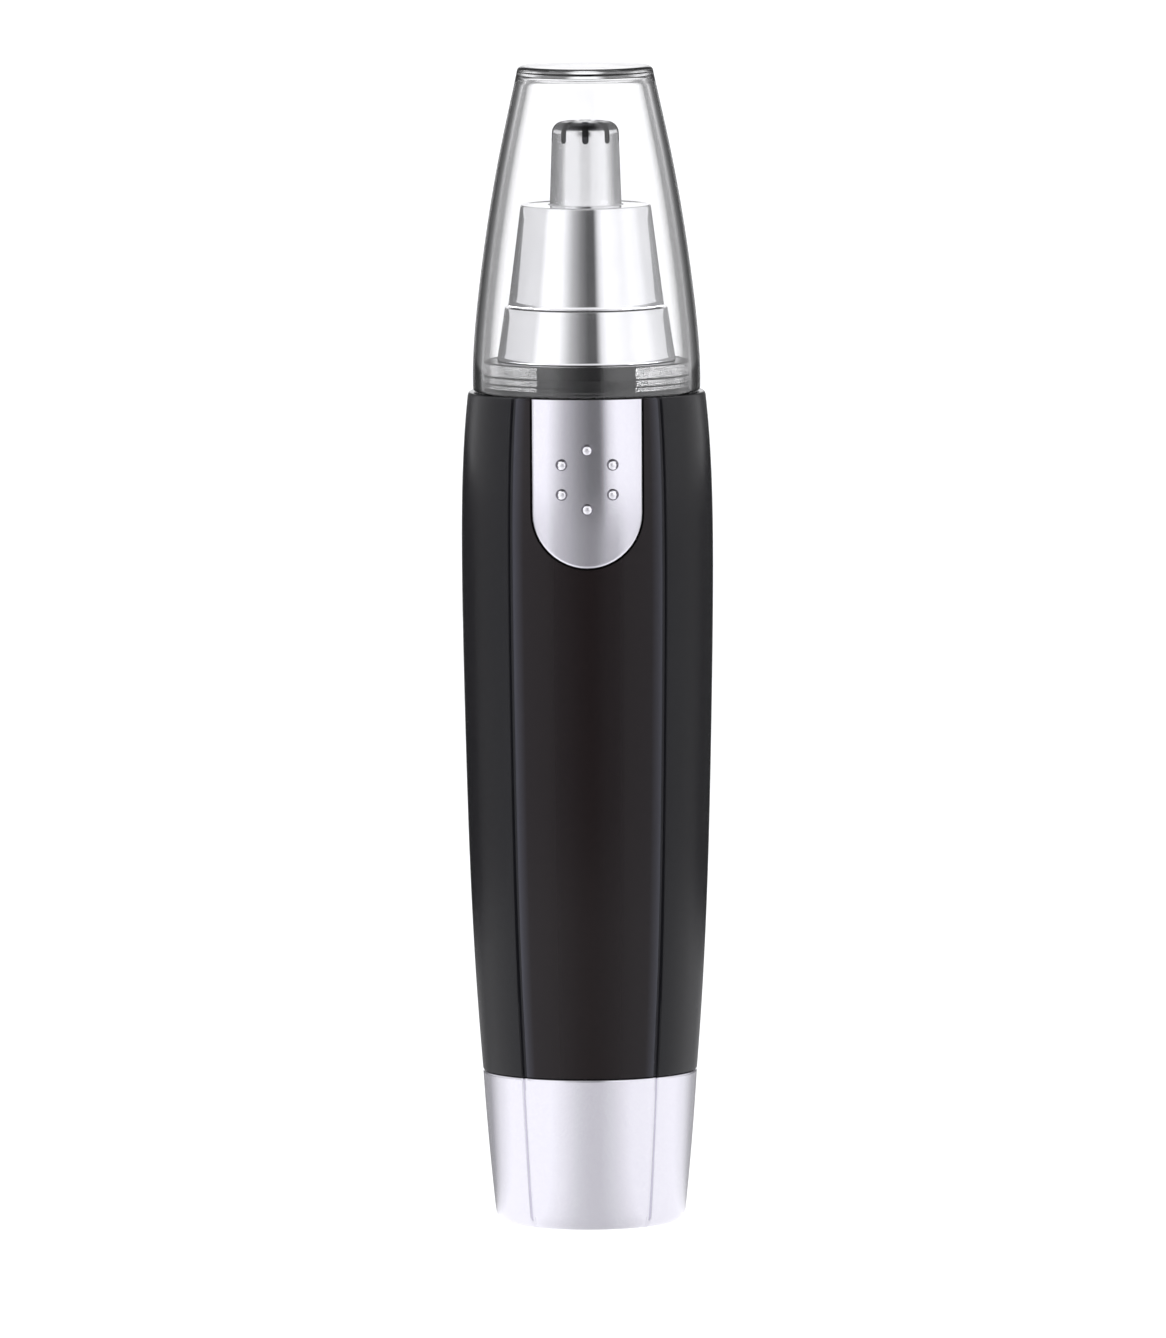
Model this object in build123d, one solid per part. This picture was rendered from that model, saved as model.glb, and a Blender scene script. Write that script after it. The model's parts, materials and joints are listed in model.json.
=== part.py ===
from build123d import *
import math
import os

# Battery-powered nose hair trimmer, in millimetres.
# The origin is the centre of the flat bottom, +Z runs up the trimmer and the thumb switch faces -Y.
# Each function makes one sub-part. NODES at the end names them and writes one STEP file for each.
# A pair named after a range holds its lowest and highest values.

# --- Heights along the trimmer -------------------------------------------------------------------
COVER_TOP = 17.15
BARREL_BOTTOM = 17.25
SHOULDER = 93.5
COLLAR_TOP = 97.0
HEAD_SEAM = 103.0
CONE_TOP = 114.4
BLADE_TOP = 123.7
CAP_TOP = 130.0

# --- Fits and cutter margins ---------------------------------------------------------------------
RUNNING_GAP = 0.05
PRESS_GAP = 0.02
SHAFT_GAP = 0.03
LOOSE_GAP = 0.1
EDGE_ROUNDING = 0.3
SHEET = 0.25
THIN_SHEET = 0.2
FAR = 20.0

# --- Outside shape, as (radius, height) points of smooth curves ----------------------------------
COVER_FOOT_RADIUS = 9.2
COVER_CORNER = (10.29, 0.46)
COVER_PROFILE = ((10.65, 1.4), (11.3, 8.0), (12.0, COVER_TOP))
BARREL_PROFILE = (
    (12.0, BARREL_BOTTOM), (13.2, 36.0), (13.8, 55.0), (14.1, 76.0), (13.9, 86.0), (13.3, SHOULDER),
)
CAP_PROFILE = ((12.75, 93.6), (12.6, 99.3), (11.7, 107.5), (10.7, 114.4), (9.42, 121.2), (7.5, CAP_TOP))
GROOVE_ANGLE = 38.0
GROOVE_WIDTH = 0.6
GROOVE_DEPTH = 0.35
GROOVE_RUN_OUT = 3.0

# --- Protective cap ------------------------------------------------------------------------------
CAP_WALL = 1.0
CAP_ROOF = 1.2
CAP_ROUNDING = 0.7
CAP_INNER_ROUNDING = 0.5

# --- Barrel and battery cover --------------------------------------------------------------------
BORE = 11.3
MOUTH_BORE = 10.0
MOUTH_TOP = 28.0
COVER_BORE = 9.85
COVER_FLOOR = 1.2
COVER_TOP_CHAMFER = 0.25
INSERT_RADIUS = 9.8
INSERT_BORE = 8.95
INSERT_FLOOR_TOP = 2.6
INSERT_TOP = 27.0
COVER_SEAL_RADIUS = 9.6
COVER_SEAL_WIRE = 0.33
COVER_SEAL_HEIGHT = 19.0
COVER_SEAL_GROOVE = (18.6, 19.4)
COVER_SEAL_FLOOR = 9.25

# --- AA cell and the contact at its negative end -------------------------------------------------
CELL_RADIUS = 7.25
CELL_BOTTOM = 9.5
CELL_LENGTH = 50.5
CELL_ROUNDING = 0.5
CELL_NUB_RADIUS = 2.75
CELL_NUB_HEIGHT = 1.3
CELL_TOP = CELL_BOTTOM + CELL_LENGTH
BASE_CONTACT = (INSERT_FLOOR_TOP + RUNNING_GAP, INSERT_FLOOR_TOP + 0.35)
BASE_CONTACT_RADIUS = 6.8
BASE_CONTACT_TAB = 1.4
BASE_CONTACT_REACH = 8.8
BASE_CONTACT_TOP = 25.5
CELL_SPRING_RADIUS = 5.6
CELL_SPRING_LEAN = -20.0
CELL_SPRING_WIRE = 0.35
CELL_SPRING_TURNS = 4

# --- Inner frame ---------------------------------------------------------------------------------
FRAME_RADIUS = 11.0
TUBE_BORE = 7.45
TUBE_RADIUS = 8.15
TUBE_BOTTOM = 17.6
DIVIDER = (60.5, 61.7)
RIB_HEIGHTS = (28.1, 39.0, 50.0)
RIB_THICKNESS = 1.2
STRIP_CHANNEL = 1.8
BACK_RELIEF = ((-1.6, 1.6), (8.9, FAR), (62.7, 82.0))

# --- Motor, the common 20 by 15 by 25 mm size ----------------------------------------------------
MOTOR_RADIUS = 10.05
MOTOR_HALF_FLAT = 7.55
MOTOR_BOTTOM = 64.0
MOTOR_TOP = 89.1
MOTOR_WALL = 0.8
MOTOR_BOSS_RADIUS = 3.08
MOTOR_BOSS = 1.6
MOTOR_BOSS_ROOF = 0.2
END_CAP_RIM = 1.0
END_CAP_PLUG = 1.2
BUSH_RADIUS = 2.2
BUSH_SPANS = ((62.7, 65.8), (87.9, 90.45))
SHAFT = (62.9, 96.0)
SHAFT_RADIUS = 1.0
SHAFT_HOLE = 1.3
POLES = 3
CORE = (72.0, 82.0)
ARMATURE_RADIUS = 6.5
ARMATURE_HUB = 2.4
SHOE_BORE = 5.3
SHOE_GAP = 1.2
TOOTH_WIDTH = 2.2
TOOTH_LENGTH = 4.0
TOOTH_MIDDLE = 3.8
COIL_REACH = (2.7, 4.6)
COIL_HALF_WIDTH = 2.5
COIL_OVERHANG = 1.3
COIL_ROUNDING = 0.9
MAGNET_BORE = 6.8
MAGNET_OVERHANG = 2.0
MAGNET_SLOPE = 0.85
COMMUTATOR = (66.6, 69.6)
COMMUTATOR_RADIUS = 2.3
COMMUTATOR_SLIT = 0.4
SLEEVE = (66.4, 70.2)
SLEEVE_RADIUS = 1.6
BRUSH_INSET = 0.6
BRUSH_Y = (-2.2, 2.6)
TERMINAL_X = 5.5
TERMINAL_HALF = 0.15
TERMINAL_Y = (1.9, 3.5)
RETAINER = (89.2, 90.9)
SCREW_SPOTS = ((-3.0, 9.0), (3.0, 9.0))
SCREW_RADIUS = 0.82
SCREW_HEAD_RADIUS = 1.45
SCREW_HEAD_HEIGHT = 1.0
SCREW_BOTTOM = 84.0
SCREW_ROOM = 0.5
SCREW_SLOT_HALF = 1.0
SCREW_SLOT_WIDTH = 0.3
SCREW_SLOT_DEPTH = 0.6
COUPLER_RADIUS = 2.6
COUPLER_BOTTOM = 91.3
COUPLER_HEX_HEIGHT = 4.5
DRIVE_HEX = 1.73
HEX_GAP = 0.12

# --- Thumb switch --------------------------------------------------------------------------------
PLATE_WIDTH = 12.3
PLATE_BOTTOM = 74.7
PLATE_BACK = 12.9
PLATE_PROUD = 0.2
PLATE_ROUNDING = 0.25
POCKET_FLOOR = 12.7
POCKET_GAP = 0.2
BUMP_COUNT = 6
BUMP_RING = 3.3
BUMP_CENTRE = 84.6
BUMP_SPHERE = 0.75
BUMP_HEIGHT = 0.35
SWITCH_TRAVEL = 3.0
STEM = (82.6, 86.4)
STEM_HALF_WIDTH = 1.9
STEM_GAP = 0.3
STEM_END = -10.2
CARRIER = (80.5, 87.5)
CARRIER_HALF_WIDTH = 5.0
CARRIER_BACK = -9.6
CARRIER_GAP = 0.15
WIPER = (80.7, 82.3)
WIPER_Y = (-9.55, -9.4)
WIPER_DIMPLE = 0.42
BOARD = (63.5, 88.0)
BOARD_HALF_WIDTH = 6.5
BOARD_Y = (-8.75, -7.75)

# --- Contact strips ------------------------------------------------------------------------------
STRIP_Y = (-9.1, -9.1 + SHEET)
STRIP_X = (1.0, 3.6)
SUPPLY_HALF_WIDTH = 1.4
SUPPLY_BOTTOM = 20.0
SUPPLY_Y = (-TUBE_RADIUS - 0.35, -TUBE_RADIUS - 0.1)
SUPPLY_BEND = (DIVIDER[1] + 0.35, DIVIDER[1] + 0.35 + SHEET)
LEAD_BEND = (DIVIDER[1] + 0.8, DIVIDER[1] + 0.8 + SHEET)
LEAD_Y = (-6.2, -5.0)
LEAD_HALF_WIDTH = 0.6
POSITIVE = (CELL_TOP + RUNNING_GAP, CELL_TOP + 0.35)
POSITIVE_RADIUS = 3.6
POSITIVE_TAB_X = (5.0, 5.3)
POSITIVE_TAB_TOP = 63.6

# --- Neck ----------------------------------------------------------------------------------------
COLLAR_RADIUS = 11.5
COLLAR_BORE = 4.0
SPIGOT_RADIUS = BORE - 0.1
SPIGOT_BORE = 9.6
SPIGOT_BOTTOM = RETAINER[1] + 0.3
SOCKET_BORE = 7.4
SOCKET_RADIUS = 8.15
SOCKET_TOP = HEAD_SEAM - 0.1
NECK_SEAL_RADIUS = 11.12
NECK_SEAL_WIRE = 0.45
NECK_SEAL_HEIGHT = 95.1
NECK_SEAL_GROOVE = (94.6, 95.6)
NECK_SEAL_FLOOR = 10.6
RING_FOOT_RADIUS = 10.0
RING_TOP_RADIUS = 9.07

# --- Cutter head ---------------------------------------------------------------------------------
CONE_FOOT_RADIUS = 8.73
CONE_TOP_RADIUS = 7.24
CONE_WALL = 0.8
CONE_ROOF = 1.0
CONE_CHAMFER = 0.2
PLUG_BOTTOM = 98.0
PLUG_RADIUS = SOCKET_BORE - 0.15
PLUG_RIM = (HEAD_SEAM, 104.0)
PLUG_RIM_RADIUS = 7.65
PLUG_POST_RADIUS = 5.9
PLUG_POST_TOP = CONE_TOP - 2.0
SOCKET_ROOM = 3.3
SPRING_ROOM = 3.6
SPINDLE_BUSH = (104.3, 105.5)
SPINDLE_BUSH_RADIUS = 2.3
CUTTER_RADIUS = 3.75
CUTTER_FOOT_RADIUS = 4.03
CUTTER_STRAIGHT_FROM = 118.0
CUTTER_WALL = 0.35
CUTTER_ROOF = 0.4
CUTTER_CORNER = 1.3
CUTTER_FLANGE = (CONE_TOP - 1.9, CONE_TOP - 1.1)
CUTTER_FLANGE_RADIUS = 5.4
CUTTER_SLOTS = 9
CUTTER_SLOT_WIDTH = 0.6
CUTTER_SLOT_BOTTOM = 121.5
CUTTER_SLOT_START = 1.3

# --- Inner blade and its spindle -----------------------------------------------------------------
BLADE_BOTTOM = 115.5
BLADE_RADIUS = 3.3
BLADE_BORE = 1.55
BLADE_FLOOR = 0.8
BLADE_INNER = 2.8
BLADE_WING_INNER = 2.1
BLADE_KNEE = 117.5
BLADE_CORNER = 1.1
BLADE_CLEARANCE = 0.5
WING_COUNT = 4
WING_GAP = 3.2
WING_BOTTOM = 117.0
SPINDLE_BOTTOM = 102.35
SPINDLE_RADIUS = 1.2
SPINDLE_DISC = (109.3, 110.3)
SPINDLE_DISC_RADIUS = 3.0
SPINDLE_POST_RADIUS = 2.6
SPINDLE_TOP = 117.2
SPINDLE_TIP_RADIUS = 1.5
SPINDLE_SPRING_RADIUS = 2.2
SPINDLE_SPRING_WIRE = 0.2
SPINDLE_SPRING_TURNS = 5
DRIVE_SOCKET = (COLLAR_TOP + 0.3, 104.0)
DRIVE_SOCKET_RADIUS = 3.0
DRIVE_SOCKET_DEPTH = 4.6
DRIVE_SOCKET_FLOOR = 102.3


def turned(*points):
    """A solid turned about Z from a closed outline of (radius, height) points."""
    return revolve(Plane.XZ * make_face(Polyline(*points, close=True)), Axis.Z)


def turned_curve(profile):
    """A solid turned about Z whose side is a smooth curve through the profile's points."""
    side = Spline(*profile)
    rest = Polyline(profile[-1], (0, profile[-1][1]), (0, profile[0][1]), profile[0])
    return revolve(Plane.XZ * make_face([*side.edges(), *rest.edges()]), Axis.Z)


def widened(profile, extra):
    """The same profile with every radius larger by extra."""
    return tuple((radius + extra, height) for radius, height in profile)


def disc(radius, low, high):
    """A round solid about Z."""
    return Pos(0, 0, low) * extrude(Circle(radius), high - low)


def ring(outer, inner, low, high):
    """A round tube about Z."""
    return Pos(0, 0, low) * extrude(Circle(outer) - Circle(inner), high - low)


def block(x, y, z):
    """A box from its lowest and highest x, y and z."""
    middle = [(low + high) / 2 for low, high in (x, y, z)]
    sides = [high - low for low, high in (x, y, z)]
    return Pos(*middle) * Box(*sides)


def mirrored_pair(shape):
    """The shape and its mirror image in x, as two solids."""
    return Compound(children=[*shape.solids(), *mirror(shape, Plane.YZ).solids()])


def o_ring(middle_radius, wire_radius, height):
    """A rubber ring about Z."""
    return Pos(0, 0, height) * Torus(middle_radius, wire_radius)


def coil_spring(foot_radius, lean, wire_radius, low, high, turns):
    """A wire coil about Z between two heights. A negative lean in degrees narrows it towards the top."""
    rise = high - low - 2 * wire_radius
    path = Helix(rise / turns, rise, foot_radius, cone_angle=lean)
    start = Plane(path @ 0, z_dir=path % 0)
    return Pos(0, 0, low + wire_radius) * sweep(start * Circle(wire_radius), path, is_frenet=True)


def groove_cutter(profile):
    """Four upright cutters that follow the profile at the edges of the front and back panels."""
    low, high = profile[0][1] - GROOVE_RUN_OUT, profile[-1][1] + GROOVE_RUN_OUT
    foot, top = profile[0][0] - GROOVE_DEPTH, profile[-1][0] - GROOVE_DEPTH
    core = turned_curve(widened(profile, -GROOVE_DEPTH))
    core += disc(foot, low, profile[0][1]) + disc(top, profile[-1][1], high)
    cutters = []
    for side in (-90, 90):
        for turn in (-GROOVE_ANGLE, GROOVE_ANGLE):
            plate = block((foot / 2, FAR), (-GROOVE_WIDTH / 2, GROOVE_WIDTH / 2), (low, high))
            cutters.append(Rot(0, 0, side + turn) * plate - core)
    return cutters


def barrel_radius(height):
    """The barrel's outside radius at a height, between the two nearest profile points."""
    for (low_radius, low), (high_radius, high) in zip(BARREL_PROFILE, BARREL_PROFILE[1:]):
        if low <= height <= high:
            return low_radius + (high_radius - low_radius) * (height - low) / (high - low)
    raise ValueError(f"no barrel at height {height}")


def edge_at(shape, height, radius):
    """The circular edge about Z that is nearest to a height and a radius."""
    circles = shape.edges().filter_by(GeomType.CIRCLE)
    return min(circles, key=lambda edge: abs(edge.center().Z - height) + abs(edge.radius - radius))


# --- Housing: barrel, frame and neck -------------------------------------------------------------
def thumb_tongue(margin, top):
    """A U-shaped prism towards -Y, straight at its top and round at its bottom."""
    half = PLATE_WIDTH / 2 + margin
    centre = PLATE_BOTTOM + PLATE_WIDTH / 2
    outline = Pos(0, (centre + top) / 2) * Rectangle(2 * half, top - centre)
    outline += Pos(0, centre) * Circle(half)
    return extrude(Plane.XZ * outline, FAR)


def body_shell():
    shell = turned_curve(BARREL_PROFILE)
    shell = fillet(edge_at(shell, SHOULDER, BARREL_PROFILE[-1][0]), EDGE_ROUNDING)
    shell -= disc(MOUTH_BORE, 0, MOUTH_TOP) + disc(BORE, MOUTH_TOP, CAP_TOP)
    for cutter in groove_cutter(BARREL_PROFILE):
        shell -= cutter
    shell -= thumb_tongue(POCKET_GAP, COLLAR_TOP) - disc(POCKET_FLOOR, 0, CAP_TOP)
    slot_x = (-STEM_HALF_WIDTH - STEM_GAP, STEM_HALF_WIDTH + STEM_GAP)
    slot_z = (STEM[0] - STEM_GAP, STEM[1] + SWITCH_TRAVEL + STEM_GAP)
    return shell - block(slot_x, (-FAR, -MOUTH_BORE), slot_z)


def motor_outline(margin):
    """The motor's cross-section, round with a flat at the front and the back."""
    flats = Rectangle(2 * FAR, 2 * (MOTOR_HALF_FLAT + margin))
    return Circle(MOTOR_RADIUS + margin) & flats


def motor_prism(margin, low, high):
    return Pos(0, 0, low) * extrude(motor_outline(margin), high - low)


def inner_frame():
    frame = ring(TUBE_RADIUS, TUBE_BORE, TUBE_BOTTOM, DIVIDER[0])
    for height in RIB_HEIGHTS:
        frame += ring(FRAME_RADIUS, TUBE_BORE, height, height + RIB_THICKNESS)
    frame += disc(FRAME_RADIUS, *DIVIDER)
    frame += disc(FRAME_RADIUS, DIVIDER[1], MOTOR_TOP) - motor_prism(LOOSE_GAP, DIVIDER[1], MOTOR_TOP)
    frame -= block((-FAR, FAR), (-FAR, -MOTOR_HALF_FLAT - RUNNING_GAP), (DIVIDER[0], MOTOR_TOP))
    frame -= block((-STRIP_CHANNEL, STRIP_CHANNEL), (-FAR, -TUBE_RADIUS), (TUBE_BOTTOM, DIVIDER[0]))
    tab_x = (POSITIVE_TAB_X[0] - LOOSE_GAP, POSITIVE_TAB_X[1] + LOOSE_GAP)
    tab_y = (TERMINAL_Y[0] - LOOSE_GAP, TERMINAL_Y[1] + LOOSE_GAP)
    frame -= block(tab_x, tab_y, DIVIDER)
    frame -= block(*BACK_RELIEF)
    for x, y in SCREW_SPOTS:
        frame -= Pos(x, y) * disc(SCREW_RADIUS + RUNNING_GAP, SCREW_BOTTOM - SCREW_ROOM, MOTOR_TOP)
    return frame


def motor_retainer():
    low, high = RETAINER
    plate = ring(FRAME_RADIUS - LOOSE_GAP, MOTOR_BOSS_RADIUS + LOOSE_GAP, low, high)
    plate -= block((-FAR, FAR), (-FAR, BOARD_Y[0] - 2 * LOOSE_GAP), RETAINER)
    for x, y in SCREW_SPOTS:
        plate -= Pos(x, y) * disc(SCREW_RADIUS + RUNNING_GAP, low, high)
        plate -= Pos(x, y) * disc(SCREW_HEAD_RADIUS + RUNNING_GAP, high - SCREW_HEAD_HEIGHT, high)
    return plate


def retainer_screws():
    high = RETAINER[1] - RUNNING_GAP
    under_head = RETAINER[1] - SCREW_HEAD_HEIGHT
    half = SCREW_SLOT_WIDTH / 2
    screws = []
    for x, y in SCREW_SPOTS:
        screw = disc(SCREW_RADIUS, SCREW_BOTTOM, under_head) + disc(SCREW_HEAD_RADIUS, under_head, high)
        for turn in (0, 90):
            slot = block((-SCREW_SLOT_HALF, SCREW_SLOT_HALF), (-half, half), (high - SCREW_SLOT_DEPTH, high))
            screw -= Rot(0, 0, turn) * slot
        screws.append(Pos(x, y) * screw)
    return Compound(children=screws)


def neck_collar():
    foot = SHOULDER + RUNNING_GAP
    collar = ring(COLLAR_RADIUS, COLLAR_BORE, foot, COLLAR_TOP)
    collar += ring(SPIGOT_RADIUS, SPIGOT_BORE, SPIGOT_BOTTOM, foot)
    collar += ring(SOCKET_RADIUS, SOCKET_BORE, COLLAR_TOP, SOCKET_TOP)
    collar -= ring(FAR, NECK_SEAL_FLOOR, *NECK_SEAL_GROOVE)
    return fillet(edge_at(collar, COLLAR_TOP, COLLAR_RADIUS), EDGE_ROUNDING)


def collar_o_ring():
    return o_ring(NECK_SEAL_RADIUS, NECK_SEAL_WIRE, NECK_SEAL_HEIGHT)


def head_base_ring():
    low, high = COLLAR_TOP + RUNNING_GAP, HEAD_SEAM - RUNNING_GAP
    bore = SOCKET_RADIUS + LOOSE_GAP
    return turned((bore, low), (RING_FOOT_RADIUS, low), (RING_TOP_RADIUS, high), (bore, high))


# --- Motor ---------------------------------------------------------------------------------------
def motor_can():
    low, boss_top = MOTOR_BOTTOM + END_CAP_RIM, MOTOR_TOP + MOTOR_BOSS
    can = motor_prism(0, low, MOTOR_TOP) - motor_prism(-MOTOR_WALL, low, MOTOR_TOP - MOTOR_WALL)
    can += disc(MOTOR_BOSS_RADIUS, MOTOR_TOP - END_CAP_PLUG, boss_top)
    can -= disc(BUSH_RADIUS + RUNNING_GAP, low, boss_top - MOTOR_BOSS_ROOF)
    return can - disc(SHAFT_HOLE, low, CAP_TOP)


def motor_end_cap():
    seam = MOTOR_BOTTOM + END_CAP_RIM - PRESS_GAP
    cap = motor_prism(0, MOTOR_BOTTOM, seam)
    cap += motor_prism(-MOTOR_WALL - RUNNING_GAP, seam, seam + PRESS_GAP + END_CAP_PLUG)
    cap += disc(MOTOR_BOSS_RADIUS, MOTOR_BOTTOM - MOTOR_BOSS, MOTOR_BOTTOM)
    cap -= disc(BUSH_RADIUS + RUNNING_GAP, MOTOR_BOTTOM - MOTOR_BOSS + SHEET, CAP_TOP)
    slot_x = (TERMINAL_X - TERMINAL_HALF - RUNNING_GAP, TERMINAL_X + TERMINAL_HALF + RUNNING_GAP)
    slot_y = (TERMINAL_Y[0] - RUNNING_GAP, TERMINAL_Y[1] + RUNNING_GAP)
    slot = block(slot_x, slot_y, (0, CAP_TOP))
    return cap - slot - mirror(slot, Plane.YZ)


def motor_bushes():
    return Compound(children=[ring(BUSH_RADIUS, SHAFT_RADIUS + SHAFT_GAP, *span) for span in BUSH_SPANS])


def motor_magnets():
    low, high = CORE[0] - MAGNET_OVERHANG, CORE[1] + MAGNET_OVERHANG
    arc = ring(MOTOR_RADIUS - MOTOR_WALL - LOOSE_GAP, MAGNET_BORE, low, high)
    wedge = Polyline((0, 0), (FAR, FAR * MAGNET_SLOPE), (FAR, -FAR * MAGNET_SLOPE), close=True)
    return mirrored_pair(arc & extrude(make_face(wedge), CAP_TOP))


def motor_terminals():
    x = (TERMINAL_X - TERMINAL_HALF, TERMINAL_X + TERMINAL_HALF)
    z = (MOTOR_BOTTOM - MOTOR_BOSS - LOOSE_GAP, COMMUTATOR[1] - BRUSH_INSET)
    return mirrored_pair(block(x, TERMINAL_Y, z))


def motor_brushes():
    z = (COMMUTATOR[0] + BRUSH_INSET, COMMUTATOR[1] - BRUSH_INSET)
    near = COMMUTATOR_RADIUS + RUNNING_GAP
    leaf = block((near, near + THIN_SHEET), BRUSH_Y, z)
    arm_y = (BRUSH_Y[1] - THIN_SHEET, BRUSH_Y[1])
    arm = block((near, TERMINAL_X - TERMINAL_HALF - RUNNING_GAP), arm_y, z)
    return mirrored_pair(leaf + arm)


def motor_shaft():
    return disc(SHAFT_RADIUS, *SHAFT)


def armature_pole(pole, shape):
    """A part of the armature turned to one of its poles."""
    return Rot(0, 0, 360 / POLES * pole) * shape


def motor_armature():
    core = Circle(ARMATURE_RADIUS) - Circle(SHOE_BORE)
    for pole in range(POLES):
        gap = Rot(0, 0, 180 / POLES) * Pos(ARMATURE_RADIUS, 0) * Rectangle(ARMATURE_RADIUS, SHOE_GAP)
        core -= armature_pole(pole, gap)
    core += Circle(ARMATURE_HUB)
    for pole in range(POLES):
        core += armature_pole(pole, Pos(TOOTH_MIDDLE, 0) * Rectangle(TOOTH_LENGTH, TOOTH_WIDTH))
    core -= Circle(SHAFT_RADIUS + PRESS_GAP)
    return Pos(0, 0, CORE[0]) * extrude(core, CORE[1] - CORE[0])


def motor_windings():
    coil_z = (CORE[0] - COIL_OVERHANG, CORE[1] + COIL_OVERHANG)
    coil = block(COIL_REACH, (-COIL_HALF_WIDTH, COIL_HALF_WIDTH), coil_z)
    coil = fillet(coil.edges().filter_by(Axis.X), COIL_ROUNDING)
    half = TOOTH_WIDTH / 2 + RUNNING_GAP
    coil -= block((0, SHOE_BORE), (-half, half), (CORE[0] - RUNNING_GAP, CORE[1] + RUNNING_GAP))
    return Compound(children=[armature_pole(pole, coil) for pole in range(POLES)])


def commutator_sleeve():
    return ring(SLEEVE_RADIUS, SHAFT_RADIUS + PRESS_GAP, *SLEEVE)


def motor_commutator():
    segments = ring(COMMUTATOR_RADIUS, SLEEVE_RADIUS + PRESS_GAP, *COMMUTATOR)
    half = COMMUTATOR_SLIT / 2
    for pole in range(POLES):
        segments -= armature_pole(pole, block((0, FAR), (-half, half), COMMUTATOR))
    return segments


def drive_coupler():
    coupler = disc(COUPLER_RADIUS, COUPLER_BOTTOM, COLLAR_TOP)
    coupler += Pos(0, 0, COLLAR_TOP) * extrude(RegularPolygon(DRIVE_HEX, 6), COUPLER_HEX_HEIGHT)
    return coupler - disc(SHAFT_RADIUS + PRESS_GAP, MOTOR_TOP, SHAFT[1] + LOOSE_GAP)


# --- Contacts ------------------------------------------------------------------------------------
def positive_contact():
    contact = disc(POSITIVE_RADIUS, *POSITIVE) + block((0, POSITIVE_TAB_X[1]), TERMINAL_Y, POSITIVE)
    return contact + block(POSITIVE_TAB_X, TERMINAL_Y, (POSITIVE[0], POSITIVE_TAB_TOP))


def supply_strip():
    left = (-STRIP_X[1], -STRIP_X[0])
    strip = block((-SUPPLY_HALF_WIDTH, SUPPLY_HALF_WIDTH), SUPPLY_Y, (SUPPLY_BOTTOM, SUPPLY_BEND[1]))
    strip += block((left[0], SUPPLY_HALF_WIDTH), (STRIP_Y[0], SUPPLY_Y[1]), SUPPLY_BEND)
    return strip + block(left, STRIP_Y, (SUPPLY_BEND[0], STEM[0]))


def switch_lead():
    lead = block(STRIP_X, STRIP_Y, (LEAD_BEND[0], STEM[0]))
    lead += block(STRIP_X, (STRIP_Y[0], LEAD_Y[1]), LEAD_BEND)
    lead += block((-TERMINAL_X - LEAD_HALF_WIDTH, STRIP_X[1]), LEAD_Y, LEAD_BEND)
    end_x = (-TERMINAL_X - LEAD_HALF_WIDTH, -TERMINAL_X + LEAD_HALF_WIDTH)
    return lead + block(end_x, (LEAD_Y[0], TERMINAL_Y[0] - LOOSE_GAP), LEAD_BEND)


def switch_board():
    return block((-BOARD_HALF_WIDTH, BOARD_HALF_WIDTH), BOARD_Y, BOARD)


# --- Thumb switch --------------------------------------------------------------------------------
def switch_plate():
    plate = thumb_tongue(0, SHOULDER) & turned_curve(widened(BARREL_PROFILE, PLATE_PROUD))
    shortest = PLATE_WIDTH / 2
    rim = plate.edges().filter_by(lambda edge: edge.center().Y < -PLATE_BACK and edge.length > shortest)
    plate = fillet(rim, PLATE_ROUNDING) - disc(PLATE_BACK, 0, CAP_TOP)
    for bump in range(BUMP_COUNT):
        angle = math.radians(90 + 360 / BUMP_COUNT * bump)
        x = BUMP_RING * math.cos(angle)
        z = BUMP_CENTRE + BUMP_RING * math.sin(angle)
        depth = barrel_radius(z) + PLATE_PROUD + BUMP_HEIGHT - BUMP_SPHERE
        plate += Pos(x, -math.sqrt(depth**2 - x**2), z) * Sphere(BUMP_SPHERE)
    stem_y = (-PLATE_BACK - STEM_GAP, STEM_END)
    return plate + block((-STEM_HALF_WIDTH, STEM_HALF_WIDTH), stem_y, STEM)


def switch_carrier():
    carrier = block((-CARRIER_HALF_WIDTH, CARRIER_HALF_WIDTH), (-FAR, CARRIER_BACK), CARRIER)
    carrier &= disc(BORE - CARRIER_GAP, 0, CAP_TOP)
    hole_x = (-STEM_HALF_WIDTH - RUNNING_GAP, STEM_HALF_WIDTH + RUNNING_GAP)
    return carrier - block(hole_x, (-FAR, 0), (STEM[0] - RUNNING_GAP, STEM[1] + RUNNING_GAP))


def switch_contact():
    contact = block((-STRIP_X[1], STRIP_X[1]), WIPER_Y, WIPER)
    middle = sum(STRIP_X) / 2
    for x in (-middle, middle):
        contact += Pos(x, CARRIER_BACK, sum(WIPER) / 2) * Sphere(WIPER_DIMPLE)
    return contact & block((-FAR, FAR), (WIPER_Y[0], 0), WIPER)


# --- Cutter head ---------------------------------------------------------------------------------
def head_cone():
    low, under = HEAD_SEAM + RUNNING_GAP, CONE_TOP - CONE_ROOF
    cone = turned((0, low), (CONE_FOOT_RADIUS, low), (CONE_TOP_RADIUS, CONE_TOP), (0, CONE_TOP))
    foot, top = CONE_FOOT_RADIUS - CONE_WALL, CONE_TOP_RADIUS - CONE_WALL
    cone -= turned((0, low), (foot, low), (top, under), (0, under))
    cone -= disc(CUTTER_FOOT_RADIUS + LOOSE_GAP, under, CONE_TOP)
    return chamfer(edge_at(cone, CONE_TOP, CONE_TOP_RADIUS), CONE_CHAMFER)


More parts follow.
